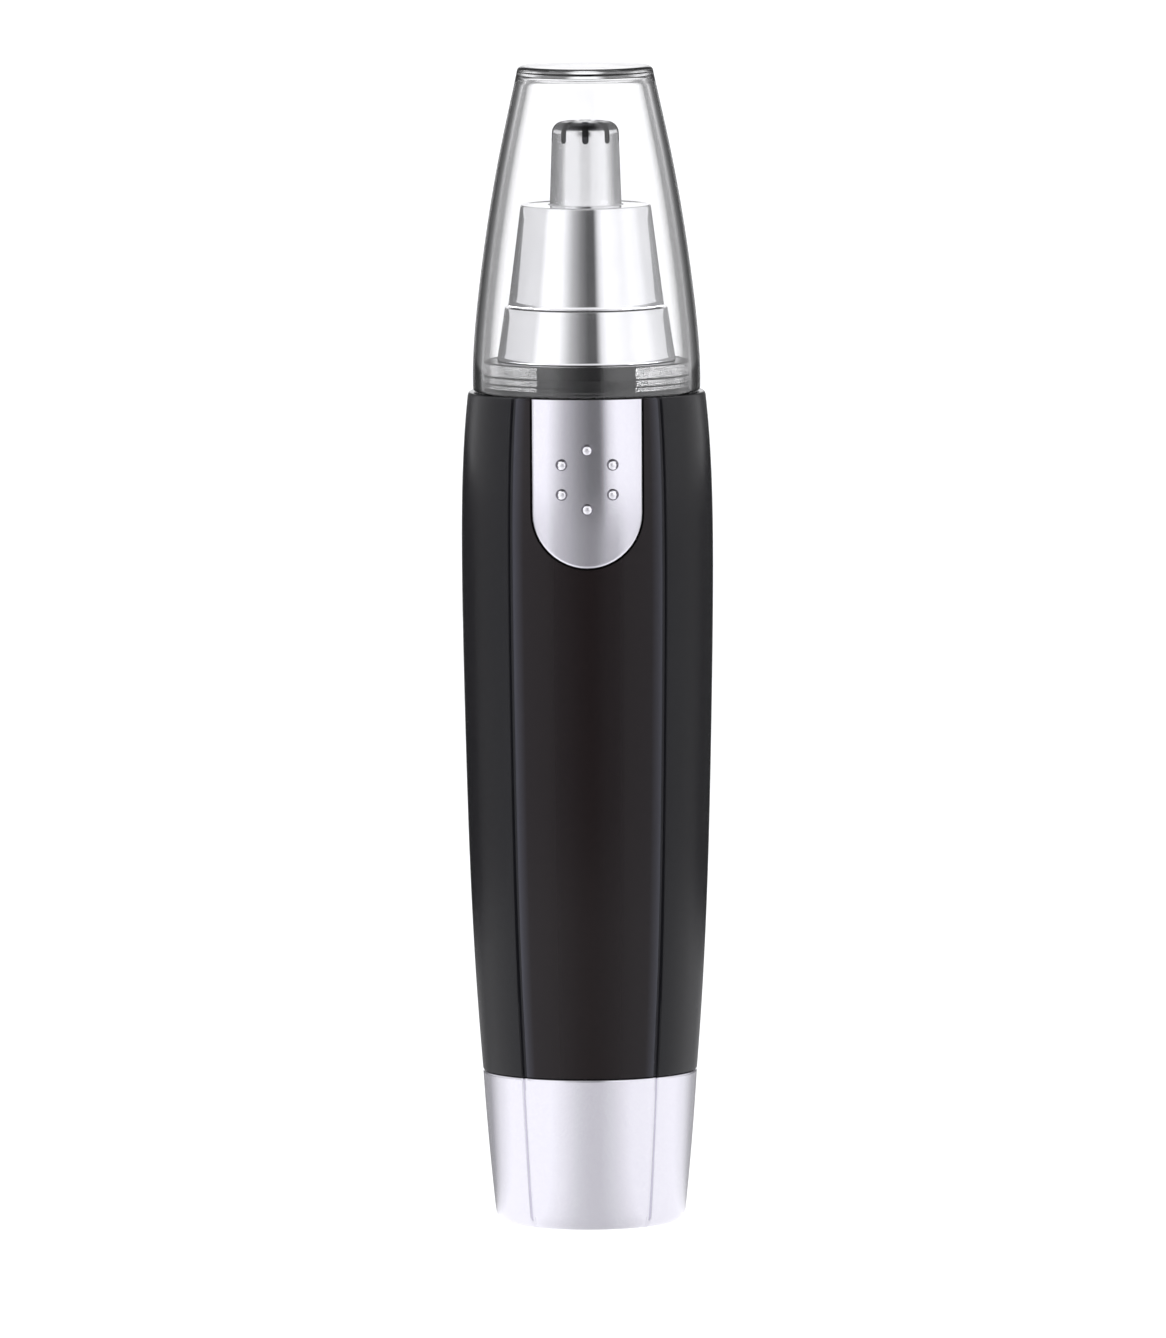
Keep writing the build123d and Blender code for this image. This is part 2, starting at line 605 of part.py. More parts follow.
def head_body():
    body = disc(PLUG_RADIUS, PLUG_BOTTOM, PLUG_RIM[0]) + disc(PLUG_RIM_RADIUS, *PLUG_RIM)
    body += disc(PLUG_POST_RADIUS, PLUG_RIM[1], PLUG_POST_TOP)
    body -= disc(SOCKET_ROOM, 0, SPINDLE_BUSH[0]) + disc(SPRING_ROOM, SPINDLE_BUSH[1], CAP_TOP)
    return body - disc(SPINDLE_BUSH_RADIUS + RUNNING_GAP, *SPINDLE_BUSH)


def spindle_bush():
    return ring(SPINDLE_BUSH_RADIUS, SPINDLE_RADIUS + RUNNING_GAP, *SPINDLE_BUSH)


def spindle_spring():
    low, high = SPINDLE_BUSH[1] + RUNNING_GAP, SPINDLE_DISC[0] - RUNNING_GAP
    return coil_spring(SPINDLE_SPRING_RADIUS, 0, SPINDLE_SPRING_WIRE, low, high, SPINDLE_SPRING_TURNS)


def outer_blade():
    foot, flange = CUTTER_FLANGE
    inside, roof = CUTTER_RADIUS - CUTTER_WALL, BLADE_TOP - CUTTER_ROOF
    shoulder, flat = BLADE_TOP - CUTTER_CORNER, CUTTER_RADIUS - CUTTER_CORNER
    side = Polyline(
        (CUTTER_RADIUS, shoulder), (CUTTER_RADIUS, CUTTER_STRAIGHT_FROM), (CUTTER_FOOT_RADIUS, CONE_TOP),
        (CUTTER_FOOT_RADIUS, flange), (CUTTER_FLANGE_RADIUS, flange), (CUTTER_FLANGE_RADIUS, foot),
        (inside, foot), (inside, shoulder),
    )
    inner_corner = CUTTER_CORNER - CUTTER_WALL
    inner_arc = RadiusArc((inside, shoulder), (inside - inner_corner, roof), -inner_corner)
    top = Polyline((inside - inner_corner, roof), (0, roof), (0, BLADE_TOP), (flat, BLADE_TOP))
    outer_arc = RadiusArc((flat, BLADE_TOP), (CUTTER_RADIUS, shoulder), CUTTER_CORNER)
    edges = [edge for line in (side, inner_arc, top, outer_arc) for edge in line.edges()]
    blade = revolve(Plane.XZ * make_face(edges), Axis.Z)
    half = CUTTER_SLOT_WIDTH / 2
    for slot in range(CUTTER_SLOTS):
        cutter = block((CUTTER_SLOT_START, FAR), (-half, half), (CUTTER_SLOT_BOTTOM, CAP_TOP))
        blade -= Rot(0, 0, -90 + 360 / CUTTER_SLOTS * slot) * cutter
    return blade


def inner_blade():
    top, floor = BLADE_TOP - BLADE_CLEARANCE, BLADE_BOTTOM + BLADE_FLOOR
    slope = BLADE_INNER - BLADE_WING_INNER
    blade = turned(
        (BLADE_BORE, BLADE_BOTTOM), (BLADE_RADIUS, BLADE_BOTTOM), (BLADE_RADIUS, top - BLADE_CORNER),
        (BLADE_RADIUS - BLADE_CORNER, top), (BLADE_WING_INNER, top), (BLADE_WING_INNER, BLADE_KNEE + slope),
        (BLADE_INNER, BLADE_KNEE), (BLADE_INNER, floor), (BLADE_BORE, floor),
    )
    half = WING_GAP / 2
    for wing in range(WING_COUNT):
        gap = block((0, FAR), (-half, half), (WING_BOTTOM, CAP_TOP))
        blade -= Rot(0, 0, (wing + 0.5) * 360 / WING_COUNT) * gap
    return blade


def blade_spindle():
    seat = BLADE_BOTTOM - RUNNING_GAP
    spindle = disc(SPINDLE_RADIUS, SPINDLE_BOTTOM, SPINDLE_DISC[0]) + disc(SPINDLE_DISC_RADIUS, *SPINDLE_DISC)
    spindle += disc(SPINDLE_POST_RADIUS, SPINDLE_DISC[1], seat)
    return spindle + disc(SPINDLE_TIP_RADIUS, seat, SPINDLE_TOP)


def drive_socket():
    low, high = DRIVE_SOCKET
    hexagon = extrude(RegularPolygon(DRIVE_HEX + HEX_GAP, 6), DRIVE_SOCKET_DEPTH)
    socket = disc(DRIVE_SOCKET_RADIUS, low, high) - Pos(0, 0, low) * hexagon
    return socket - disc(SPINDLE_RADIUS + PRESS_GAP, DRIVE_SOCKET_FLOOR, high)


def protective_cap():
    cap = turned_curve(CAP_PROFILE)
    cap = fillet(edge_at(cap, CAP_TOP, CAP_PROFILE[-1][0]), CAP_ROUNDING)
    hollow = turned_curve(widened(CAP_PROFILE, -CAP_WALL)) & disc(FAR, 0, CAP_TOP - CAP_ROOF)
    return cap - fillet(hollow.edges().sort_by(Axis.Z)[-1], CAP_INNER_ROUNDING)


# --- Battery cover and cell ----------------------------------------------------------------------
def battery_cover():
    foot, first, top = COVER_FOOT_RADIUS, COVER_PROFILE[0], COVER_PROFILE[-1]
    corner = ThreePointArc((foot, 0), COVER_CORNER, first)
    side = Spline(*COVER_PROFILE)
    rest = Polyline(top, (0, top[1]), (0, 0), (foot, 0))
    cover = revolve(Plane.XZ * make_face([*corner.edges(), *side.edges(), *rest.edges()]), Axis.Z)
    cover = chamfer(edge_at(cover, top[1], top[0]), COVER_TOP_CHAMFER)
    cover -= disc(COVER_BORE, COVER_FLOOR, CAP_TOP)
    for cutter in groove_cutter(COVER_PROFILE):
        cover -= cutter
    return cover


def cover_insert():
    insert = disc(INSERT_RADIUS, COVER_FLOOR + RUNNING_GAP, INSERT_TOP)
    insert -= disc(INSERT_BORE, INSERT_FLOOR_TOP, CAP_TOP)
    return insert - ring(FAR, COVER_SEAL_FLOOR, *COVER_SEAL_GROOVE)


def cover_o_ring():
    return o_ring(COVER_SEAL_RADIUS, COVER_SEAL_WIRE, COVER_SEAL_HEIGHT)


def cover_contact():
    tab_x = (-BASE_CONTACT_TAB, BASE_CONTACT_TAB)
    contact = disc(BASE_CONTACT_RADIUS, *BASE_CONTACT) + block(tab_x, (-BASE_CONTACT_REACH, 0), BASE_CONTACT)
    upright_y = (-BASE_CONTACT_REACH, -BASE_CONTACT_REACH + THIN_SHEET)
    return contact + block(tab_x, upright_y, (BASE_CONTACT[0], BASE_CONTACT_TOP))


def battery_spring():
    low, high = BASE_CONTACT[1] + PRESS_GAP, CELL_BOTTOM - SHAFT_GAP
    return coil_spring(CELL_SPRING_RADIUS, CELL_SPRING_LEAN, CELL_SPRING_WIRE, low, high, CELL_SPRING_TURNS)


def battery_cell():
    return fillet(disc(CELL_RADIUS, CELL_BOTTOM, CELL_TOP - CELL_NUB_HEIGHT).edges(), CELL_ROUNDING)


def battery_positive_cap():
    return disc(CELL_NUB_RADIUS, CELL_TOP - CELL_NUB_HEIGHT, CELL_TOP)


NODES = (
    body_shell, inner_frame, motor_retainer, retainer_screws, neck_collar, collar_o_ring, head_base_ring,
    motor_can, motor_end_cap, motor_bushes, motor_magnets, motor_terminals, motor_brushes, motor_shaft,
    motor_armature, motor_windings, commutator_sleeve, motor_commutator, drive_coupler,
    positive_contact, supply_strip, switch_lead, switch_board, switch_plate, switch_carrier, switch_contact,
    head_cone, head_body, spindle_bush, spindle_spring, outer_blade, inner_blade, blade_spindle, drive_socket,
    protective_cap, battery_cover, cover_insert, cover_o_ring, cover_contact, battery_spring,
    battery_cell, battery_positive_cap,
)

os.makedirs("parts", exist_ok=True)
for make_node in NODES:
    export_step(make_node(), f"parts/{make_node.__name__}.step")
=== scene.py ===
import bmesh
import bpy
import json
import math
import numpy as np
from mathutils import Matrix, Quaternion, Vector
from mathutils.bvhtree import BVHTree


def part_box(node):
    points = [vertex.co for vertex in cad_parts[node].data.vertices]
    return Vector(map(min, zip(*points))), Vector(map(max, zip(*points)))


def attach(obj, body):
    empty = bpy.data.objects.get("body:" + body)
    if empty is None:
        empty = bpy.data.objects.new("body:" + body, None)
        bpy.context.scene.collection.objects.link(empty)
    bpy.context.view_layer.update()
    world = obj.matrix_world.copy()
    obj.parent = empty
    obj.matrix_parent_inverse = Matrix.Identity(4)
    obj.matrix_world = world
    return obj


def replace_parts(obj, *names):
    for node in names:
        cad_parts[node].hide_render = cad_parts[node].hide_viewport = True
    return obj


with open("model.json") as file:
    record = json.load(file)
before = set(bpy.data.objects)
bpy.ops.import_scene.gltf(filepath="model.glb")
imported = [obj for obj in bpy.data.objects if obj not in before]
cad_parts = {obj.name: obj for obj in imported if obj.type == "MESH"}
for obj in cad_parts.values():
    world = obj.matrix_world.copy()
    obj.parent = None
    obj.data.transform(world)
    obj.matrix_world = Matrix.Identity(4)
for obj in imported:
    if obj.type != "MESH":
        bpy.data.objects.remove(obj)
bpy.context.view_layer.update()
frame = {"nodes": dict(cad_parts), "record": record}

# A slim battery trimmer that stands on its silver battery cover, with its thumb switch towards -Y.
# The outside pieces are rebuilt here as fine meshes from outlines read off the CAD frame.
# The inner pieces keep their CAD meshes and take the materials below.

MM = 0.001

# --- Shape constants, in metres ------------------------------------------------------------------
GROOVE_ANGLES = tuple(math.radians(a) for a in (-38, 38, 142, 218))
GROOVE_DEPTH = 0.35 * MM
GROOVE_FLOOR = 0.16 * MM
GROOVE_MOUTH = 0.36 * MM
PANEL_BEVEL = 0.05 * MM
PANEL_BEVEL_WIDTH = 0.8 * MM
CAP_WALL = 1.0 * MM
PLATE_ROUNDING = 0.28 * MM
PLATE_BACK_RADIUS = 12.9 * MM
POCKET_RADIUS = 12.7 * MM
POCKET_GAP = 0.2 * MM
BUMP_RING = 3.3 * MM
BUMP_RADIUS = 0.6 * MM
BUMP_HEIGHT = 0.29 * MM
BUMP_CROWN = 0.5 * MM
BUMP_CENTRE_BELOW_TOP = 8.9 * MM
# (share of the bump's radius, share of its height) from its sunken foot to its crown
BUMP_OUTLINE = (
    (1.2, -0.15), (1.08, 0.0), (1.0, 0.1), (0.93, 0.32), (0.8, 0.58), (0.6, 0.8), (0.34, 0.95), (0, 1),
)
PLATE_PROUD = 0.2 * MM
PLATE_SHARES = (0.08, 0.14, 0.24, 0.36, 0.5, 0.64, 0.78, 0.9, 1)
STEM_BOX = ((-1.9 * MM, 1.9 * MM), (-13.1 * MM, -10.2 * MM), (82.6 * MM, 86.4 * MM))
STEM_SLOT_BOX = ((-2.2 * MM, 2.2 * MM), (-20 * MM, -10.3 * MM), (82.3 * MM, 89.7 * MM))
BARREL_BORE = 11.3 * MM
BARREL_MOUTH = 10.0 * MM
BARREL_STEP = 28.0 * MM
COVER_BORE = 9.85 * MM
COVER_FLOOR = 1.2 * MM
NECK_RADIUS = 11.5 * MM
NECK_TAIL = (9.6 * MM, 11.2 * MM)
NECK_SHOULDER = 93.55 * MM
NECK_SEAT = 97.0 * MM
NECK_BORE = 4.0 * MM
NECK_GROOVE_RADIUS = 10.6 * MM
NECK_GROOVE = (94.6 * MM, 95.6 * MM)
SPIGOT_WALL = (7.4 * MM, 8.15 * MM)
SEAL_INSIDE = 10.7 * MM
RING_BORE = 8.25 * MM
CONE_HOLE = 4.13 * MM
TUBE_BASE = 114.4 * MM
TUBE_GAUGE_BELOW_TOP = 3.2 * MM
TUBE_GAUGE_AZIMUTH = 20
SLOT_COUNT = 9
SLOT_WIDTH = 0.72 * MM
SLOT_DEPTH = 2.35 * MM
TINY = 1e-6


# --- Reading the frame ---------------------------------------------------------------------------
def tree_of(node):
    mesh = frame["nodes"][node].data
    return BVHTree.FromPolygons([v.co for v in mesh.vertices], [p.vertices for p in mesh.polygons])


def radius_at(tree, height, azimuth=90.0):
    """A CAD node's outside radius at a height, seen from an azimuth in degrees. 0 is the front."""
    angle = math.radians(azimuth)
    out = Vector((math.sin(angle), -math.cos(angle), 0))
    hit = tree.ray_cast(out * 0.1 + Vector((0, 0, height)), -out)[0]
    return math.hypot(hit.x, hit.y)


def smooth_profile(node, low, high, degree=5):
    """A smooth function of height that gives the node's outside radius between two heights."""
    tree = tree_of(node)
    heights = np.linspace(low, high, 15)
    radii = [radius_at(tree, height) for height in heights]
    return np.polynomial.Polynomial.fit(heights, radii, degree)


def sampled(profile, low, high, steps):
    return [(float(profile(z)), float(z)) for z in np.linspace(low, high, steps)]


def corner(radius, height, size, start, end, steps=6):
    """Points of a rounded corner about a centre, from one angle to another in degrees."""
    angles = [math.radians(start + (end - start) * k / steps) for k in range(steps + 1)]
    return [(radius + size * math.cos(a), height + size * math.sin(a)) for a in angles]


# --- Mesh building -------------------------------------------------------------------------------
def even_azimuths(count):
    return [2 * math.pi * k / count for k in range(count)]


def grooved_azimuths(count, radius):
    """Even azimuths with extra ones across each groove."""
    near = [0, 0.08, 0.16, 0.2, 0.25, 0.3, 0.36, 0.45, 0.6, 0.85, 1.2]
    offsets = sorted({sign * s * MM / radius for s in near for sign in (-1, 1)})
    keep_out = offsets[-1] + 0.01
    result = [g % (2 * math.pi) + s for g in GROOVE_ANGLES for s in offsets]
    for a in even_azimuths(count):
        gaps = [abs((a - g + math.pi) % (2 * math.pi) - math.pi) for g in GROOVE_ANGLES]
        if min(gaps) > keep_out:
            result.append(a)
    return sorted(a % (2 * math.pi) for a in result)


def smoothstep(low, high, x):
    t = min(max((x - low) / (high - low), 0), 1)
    return t * t * (3 - 2 * t)


def groove_depth(azimuth, radius):
    """How far the surface is cut back at an azimuth: the groove and a slight bevel on the panel's edge."""
    depth = 0
    for index, angle in enumerate(GROOVE_ANGLES):
        across = ((azimuth - angle + math.pi) % (2 * math.pi) - math.pi) * radius
        inward = across if index % 2 == 0 else -across
        depth += GROOVE_DEPTH * (1 - smoothstep(GROOVE_FLOOR, GROOVE_MOUTH, abs(across)))
        if inward > 0:
            depth += PANEL_BEVEL * (1 - smoothstep(GROOVE_MOUTH, PANEL_BEVEL_WIDTH, inward))
    return depth


def new_piece(name, vertices, faces, body, slot, sharp=40):
    mesh = bpy.data.meshes.new(name)
    mesh.from_pydata(vertices, [], faces)
    mesh.validate()
    piece = bpy.data.objects.new(name, mesh)
    bpy.context.scene.collection.objects.link(piece)
    tidy_normals(piece, sharp)
    if body:
        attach(piece, body)
        piece.data.materials.append(MATERIALS[slot])
    return piece


def tidy_normals(piece, sharp):
    work = bmesh.new()
    work.from_mesh(piece.data)
    bmesh.ops.remove_doubles(work, verts=work.verts, dist=TINY)
    bmesh.ops.recalc_face_normals(work, faces=work.faces)
    work.to_mesh(piece.data)
    work.free()
    piece.data.shade_smooth()
    piece.data.set_sharp_from_angle(angle=math.radians(sharp))


def lathe_mesh(outline, azimuths, cut=None):
    """Vertices and faces of a closed outline of (radius, height[, cut share]) points turned about Z."""
    vertices, rings = [], []
    for radius, height, *share in outline:
        if radius < TINY:
            rings.append([len(vertices)])
            vertices.append((0, 0, height))
            continue
        ring = []
        for a in azimuths:
            r = radius - (cut(a, radius) * share[0] if cut and share else 0)
            ring.append(len(vertices))
            vertices.append((r * math.sin(a), -r * math.cos(a), height))
        rings.append(ring)
    faces = []
    count = len(azimuths)
    for low, high in zip(rings, rings[1:] + rings[:1]):
        if len(low) == 1 and len(high) == 1:
            continue
        for k in range(count):
            n = (k + 1) % count
            around = [low[k % len(low)], low[n % len(low)], high[n % len(high)], high[k % len(high)]]
            faces.append(list(dict.fromkeys(around)))
    return vertices, faces


def lathe(name, outline, body, slot, count=192, sharp=40):
    return new_piece(name, *lathe_mesh(outline, even_azimuths(count)), body, slot, sharp)


def grooved(outline, share=1.0):
    return [(radius, height, share) for radius, height in outline]


def box_mesh(x, y, z):
    vertices = [(a, b, c) for a in x for b in y for c in z]
    faces = [(0, 1, 3, 2), (4, 6, 7, 5), (0, 4, 5, 1), (2, 3, 7, 6), (0, 2, 6, 4), (1, 5, 7, 3)]
    return vertices, faces


def carve(piece, cutter):
    """Cuts a helper mesh out of a piece and removes the helper."""
    modifier = piece.modifiers.new("carve", "BOOLEAN")
    modifier.operation, modifier.solver, modifier.object = "DIFFERENCE", "EXACT", cutter
    bpy.context.view_layer.update()
    graph = bpy.context.evaluated_depsgraph_get()
    carved, old = bpy.data.meshes.new_from_object(piece.evaluated_get(graph)), piece.data
    piece.modifiers.remove(modifier)
    piece.data = carved
    bpy.data.meshes.remove(old)
    bpy.data.objects.remove(cutter)


# --- Materials -----------------------------------------------------------------------------------
def fill_ramp(node, stops):
    """Sets a colour ramp's stops from (position, colour) pairs."""
    elements = node.color_ramp.elements
    while len(elements) < len(stops):
        elements.new(0.5)
    for element, (place, colour) in zip(elements, stops):
        element.position, element.color = place, (*colour, 1)


class Surface:
    """A procedural Principled material whose patterns are sized in metres."""

    def __init__(self, name, colour, roughness, metallic=0.0, **sockets):
        self.material = bpy.data.materials.new(name)
        self.material.use_nodes = True
        self.tree = self.material.node_tree
        self.shader = self.tree.nodes["Principled BSDF"]
        self.colour = colour
        self.set("Base Color", (*colour, 1))
        self.set("Roughness", roughness)
        self.set("Metallic", metallic)
        for socket, value in sockets.items():
            self.set(socket.replace("_", " "), value)
        self.place = self.tree.nodes.new("ShaderNodeTexCoord").outputs["Object"]

    def set(self, socket, value):
        self.shader.inputs[socket].default_value = value

    def node(self, kind, **values):
        made = self.tree.nodes.new("ShaderNode" + kind)
        for key, value in values.items():
            if key in made.inputs:
                made.inputs[key].default_value = value
            else:
                setattr(made, key, value)
        return made

    def link(self, source, target):
        self.tree.links.new(source, target)

    def stretched(self, scale):
        mapping = self.node("Mapping", Scale=scale)
        self.link(self.place, mapping.inputs["Vector"])
        return mapping.outputs["Vector"]

    def noise(self, size, detail=3.0, stretch=(1, 1, 1)):
        """Grey noise whose features are about size metres across."""
        made = self.node("TexNoise", Scale=1 / size, Detail=detail)
        self.link(self.stretched(stretch), made.inputs["Vector"])
        return made.outputs["Fac"]

    def waves(self, spacing, distortion=0.0):
        """Even bands stacked along Z."""
        made = self.node("TexWave", Scale=math.pi / 10 / spacing, Distortion=distortion, bands_direction="Z")
        self.link(self.place, made.inputs["Vector"])
        return made.outputs["Fac"]

    def spread(self, source, low, high):
        """Noise mostly lies from 0.3 to 0.7, which this spreads over the given range."""
        made = self.node("MapRange", **{"From Min": 0.3, "From Max": 0.7, "To Min": low, "To Max": high})
        self.link(source, made.inputs["Value"])
        return made.outputs["Result"]

    def mix(self, factor, first, second):
        """The first colour where the factor is 0, and the second where it is 1."""
        made = self.node("Mix", data_type="RGBA")
        colours = [socket for socket in made.inputs if socket.type == "RGBA"]
        colours[0].default_value, colours[1].default_value = (*first, 1), (*second, 1)
        self.link(factor, made.inputs["Factor"])
        return next(socket for socket in made.outputs if socket.type == "RGBA")

    def vary_roughness(self, source, low, high):
        self.link(self.spread(source, low, high), self.shader.inputs["Roughness"])
        return self

    def vary_colour(self, source, other):
        mixed = self.mix(self.spread(source, 0, 1), self.colour, other)
        self.link(mixed, self.shader.inputs["Base Color"])
        return self

    def bump(self, source, height, strength=1.0):
        made = self.node("Bump", Distance=height, Strength=strength)
        self.link(source, made.inputs["Height"])
        self.link(made.outputs["Normal"], self.shader.inputs["Normal"])
        return self


def metal(name, colour, roughness, grain=(1, 1, 1), size=0.15 * MM):
    surface = Surface(name, colour, roughness, 1.0)
    streaks = surface.noise(size, 4, grain)
    surface.vary_roughness(streaks, roughness * 0.8, roughness * 1.25)
    darker = tuple(c * 0.9 for c in colour)
    surface.vary_colour(surface.noise(6 * MM, 2), darker)
    return surface.bump(streaks, 0.002 * MM, 0.4)


def plastic(name, colour, roughness, size=0.25 * MM, height=0.006 * MM):
    surface = Surface(name, colour, roughness)
    grain = surface.noise(size, 3)
    surface.vary_roughness(grain, roughness * 0.85, roughness * 1.15)
    surface.vary_colour(surface.noise(9 * MM, 2), tuple(min(1, c * 1.15 + 0.003) for c in colour))
    return surface.bump(grain, height, 0.5)


def barrel_black():
    """Soft black lacquer, a little lighter along the front panel's two edges: a painted highlight on each
    edge.
    """
    surface = Surface("barrel_black", (0.0058, 0.0045, 0.0048), 0.14, Specular_IOR_Level=0.2)
    split = surface.node("SeparateXYZ")
    surface.link(surface.place, split.inputs["Vector"])
    front = surface.node("Math", operation="MULTIPLY")
    front.inputs[1].default_value = -1.0
    surface.link(split.outputs["Y"], front.inputs[0])
    angle = surface.node("Math", operation="ARCTAN2")
    surface.link(split.outputs["X"], angle.inputs[0])
    surface.link(front.outputs["Value"], angle.inputs[1])
    mirrored = surface.node("Math", operation="ABSOLUTE")
    surface.link(angle.outputs["Value"], mirrored.inputs[0])
    ramp = surface.node("ValToRGB")
    surface.link(mirrored.outputs["Value"], ramp.inputs["Fac"])
    edge = GROOVE_ANGLES[1]
    # The stops about the groove angle paint a thin highlight along each front panel edge.
    fill_ramp(ramp, (
        (0, (0.0062, 0.004, 0.0043)),
        (edge - 0.13, (0.0068, 0.0052, 0.0062)),
        (edge - 0.035, (0.024, 0.024, 0.031)),
        (edge - 0.02, (0.016, 0.016, 0.02)),
        (edge + 0.03, (0.006, 0.006, 0.0072)),
        (0.97, (0.0062, 0.006, 0.0068)),
    ))
    surface.vary_roughness(surface.noise(1.2 * MM, 3), 0.12, 0.17)
    surface.link(ramp.outputs["Color"], surface.shader.inputs["Base Color"])
    return surface.bump(surface.noise(0.3 * MM, 2), 0.0015 * MM, 0.3)


def silver_paint():
    surface = Surface("silver_paint", (0.67, 0.655, 0.725), 0.11, 0.95, Coat_Weight=0.1, Coat_Roughness=0.05)
    flakes = surface.node("TexVoronoi", Scale=1 / (0.09 * MM))
    surface.link(surface.place, flakes.inputs["Vector"])
    surface.vary_colour(flakes.outputs["Distance"], (0.73, 0.72, 0.77))
    surface.vary_roughness(surface.noise(0.5 * MM, 3), 0.1, 0.13)
    return surface.bump(flakes.outputs["Distance"], 0.002 * MM, 0.5)


def chrome_plate():
    surface = Surface("chrome_plate", (0.86, 0.86, 0.875), 0.05, 1.0)
    surface.vary_roughness(surface.noise(1.5 * MM, 3), 0.04, 0.075)
    return surface.vary_colour(surface.noise(5 * MM, 2), (0.82, 0.82, 0.84))


def neck_black():
    """The neck's black plastic, moulded glossy so that the cap slips over it."""
    surface = Surface("neck_black", (0.006, 0.006, 0.007), 0.05)
    surface.vary_roughness(surface.noise(1.5 * MM, 3), 0.04, 0.07)
    return surface.vary_colour(surface.noise(5 * MM, 2), (0.009, 0.009, 0.01))


def bump_silver_painted_highlight():
    """The bumps' silver, made lighter and rougher than the plate's paint as a painted highlight."""
    surface = Surface("bump_silver_painted_highlight", (0.8, 0.79, 0.84), 0.22, 0.75)
    surface.vary_roughness(surface.noise(0.3 * MM, 3), 0.18, 0.26)
    return surface.vary_colour(surface.noise(1 * MM, 2), (0.74, 0.73, 0.78))


def bump_foot_painted_shade():
    """The crease round a bump, with painted shade that darkens the silver there."""
    surface = Surface("bump_foot_painted_shade", (0.2, 0.19, 0.22), 0.16, 0.9)
    surface.vary_roughness(surface.noise(0.3 * MM, 3), 0.13, 0.2)
    return surface.vary_colour(surface.noise(0.4 * MM, 3), (0.13, 0.125, 0.14))


def stainless():
    """Turned steel with painted shade inside the cutter tube: a dark colour within its wall."""
    surface = Surface("stainless", (0.74, 0.74, 0.75), 0.1, 1.0)
    turning = surface.noise(0.06 * MM, 4, (0.15, 0.15, 1))
    surface.vary_roughness(turning, 0.07, 0.13)
    split = surface.node("SeparateXYZ")
    surface.link(surface.place, split.inputs["Vector"])
    across = surface.node("CombineXYZ")
    for axis in "XY":
        surface.link(split.outputs[axis], across.inputs[axis])
    radius = surface.node("VectorMath", operation="LENGTH")
    surface.link(across.outputs["Vector"], radius.inputs[0])
    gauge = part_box("outer_blade")[1][2] - TUBE_GAUGE_BELOW_TOP
    wall = radius_at(tree_of("outer_blade"), gauge, TUBE_GAUGE_AZIMUTH)
    outside = surface.node("MapRange", **{"From Min": wall - 0.12 * MM, "From Max": wall - 0.04 * MM})
    surface.link(radius.outputs["Value"], outside.inputs["Value"])
    # Painted shade: inside the wall the steel takes a dark colour.
    mixed = surface.mix(outside.outputs["Result"], (0.05, 0.05, 0.055), surface.colour)
    surface.link(mixed, surface.shader.inputs["Base Color"])
    return surface.bump(turning, 0.0003 * MM, 0.3)


def clear_cap():
    """Clear plastic with painted shade: its colour darkens where the eye looks along its wall."""
    surface = Surface("clear_cap", (0.985, 0.99, 0.99), 0.02, Transmission_Weight=1.0, IOR=1.49)
    surface.vary_roughness(surface.noise(3 * MM, 3), 0.01, 0.03)
    # The ramp paints the wall's dark outline, rather than leaving it to refraction.
    along = surface.node("LayerWeight", Blend=0.5)
    ramp = surface.node("ValToRGB")
    surface.link(along.outputs["Facing"], ramp.inputs["Fac"])
    stops = ((0, 0.985), (0.48, 0.96), (0.56, 0.5), (0.63, 0.06), (0.78, 0.05), (0.9, 0.4))
    fill_ramp(ramp, [(place, (value, value, value)) for place, value in stops])
    surface.link(ramp.outputs["Color"], surface.shader.inputs["Base Color"])
    return surface.bump(surface.noise(12 * MM, 2), 0.002 * MM, 0.1)


def copper():
    surface = Surface("copper", (0.62, 0.25, 0.12), 0.3, 0.9, Coat_Weight=0.5, Coat_Roughness=0.15)
    wires = surface.waves(0.22 * MM, distortion=0.6)
    surface.vary_colour(wires, (0.4, 0.13, 0.06))
    return surface.bump(wires, 0.06 * MM, 0.8)


def core_steel():
    surface = Surface("core_steel", (0.2, 0.2, 0.21), 0.45, 0.9)
    sheets = surface.waves(0.4 * MM)
    surface.vary_colour(sheets, (0.09, 0.09, 0.1))
    return surface.bump(sheets, 0.03 * MM, 0.7)


def board_phenolic():
    surface = Surface("board_phenolic", (0.3, 0.15, 0.06), 0.5)
    fibres = surface.noise(0.25 * MM, 4, (0.2, 1, 1))
    surface.vary_colour(fibres, (0.22, 0.1, 0.035))
    return surface.bump(fibres, 0.01 * MM, 0.5)


def cell_wrap():
    """A shrink sleeve in two plain colours: dark below and copper near the positive end."""
    surface = Surface("cell_wrap", (0.03, 0.035, 0.045), 0.28, 0.2, Coat_Weight=0.6, Coat_Roughness=0.1)
    low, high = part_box("battery_cell")
    height = surface.node("SeparateXYZ")
    surface.link(surface.place, height.inputs["Vector"])
    band = surface.node("Math", operation="GREATER_THAN")
    band.inputs[1].default_value = low[2] + 0.74 * (high[2] - low[2])
    surface.link(height.outputs["Z"], band.inputs[0])
    surface.vary_colour(band.outputs["Value"], (0.55, 0.27, 0.1))
    return surface.bump(surface.noise(2.5 * MM, 2, (1, 1, 0.4)), 0.02 * MM, 0.3)


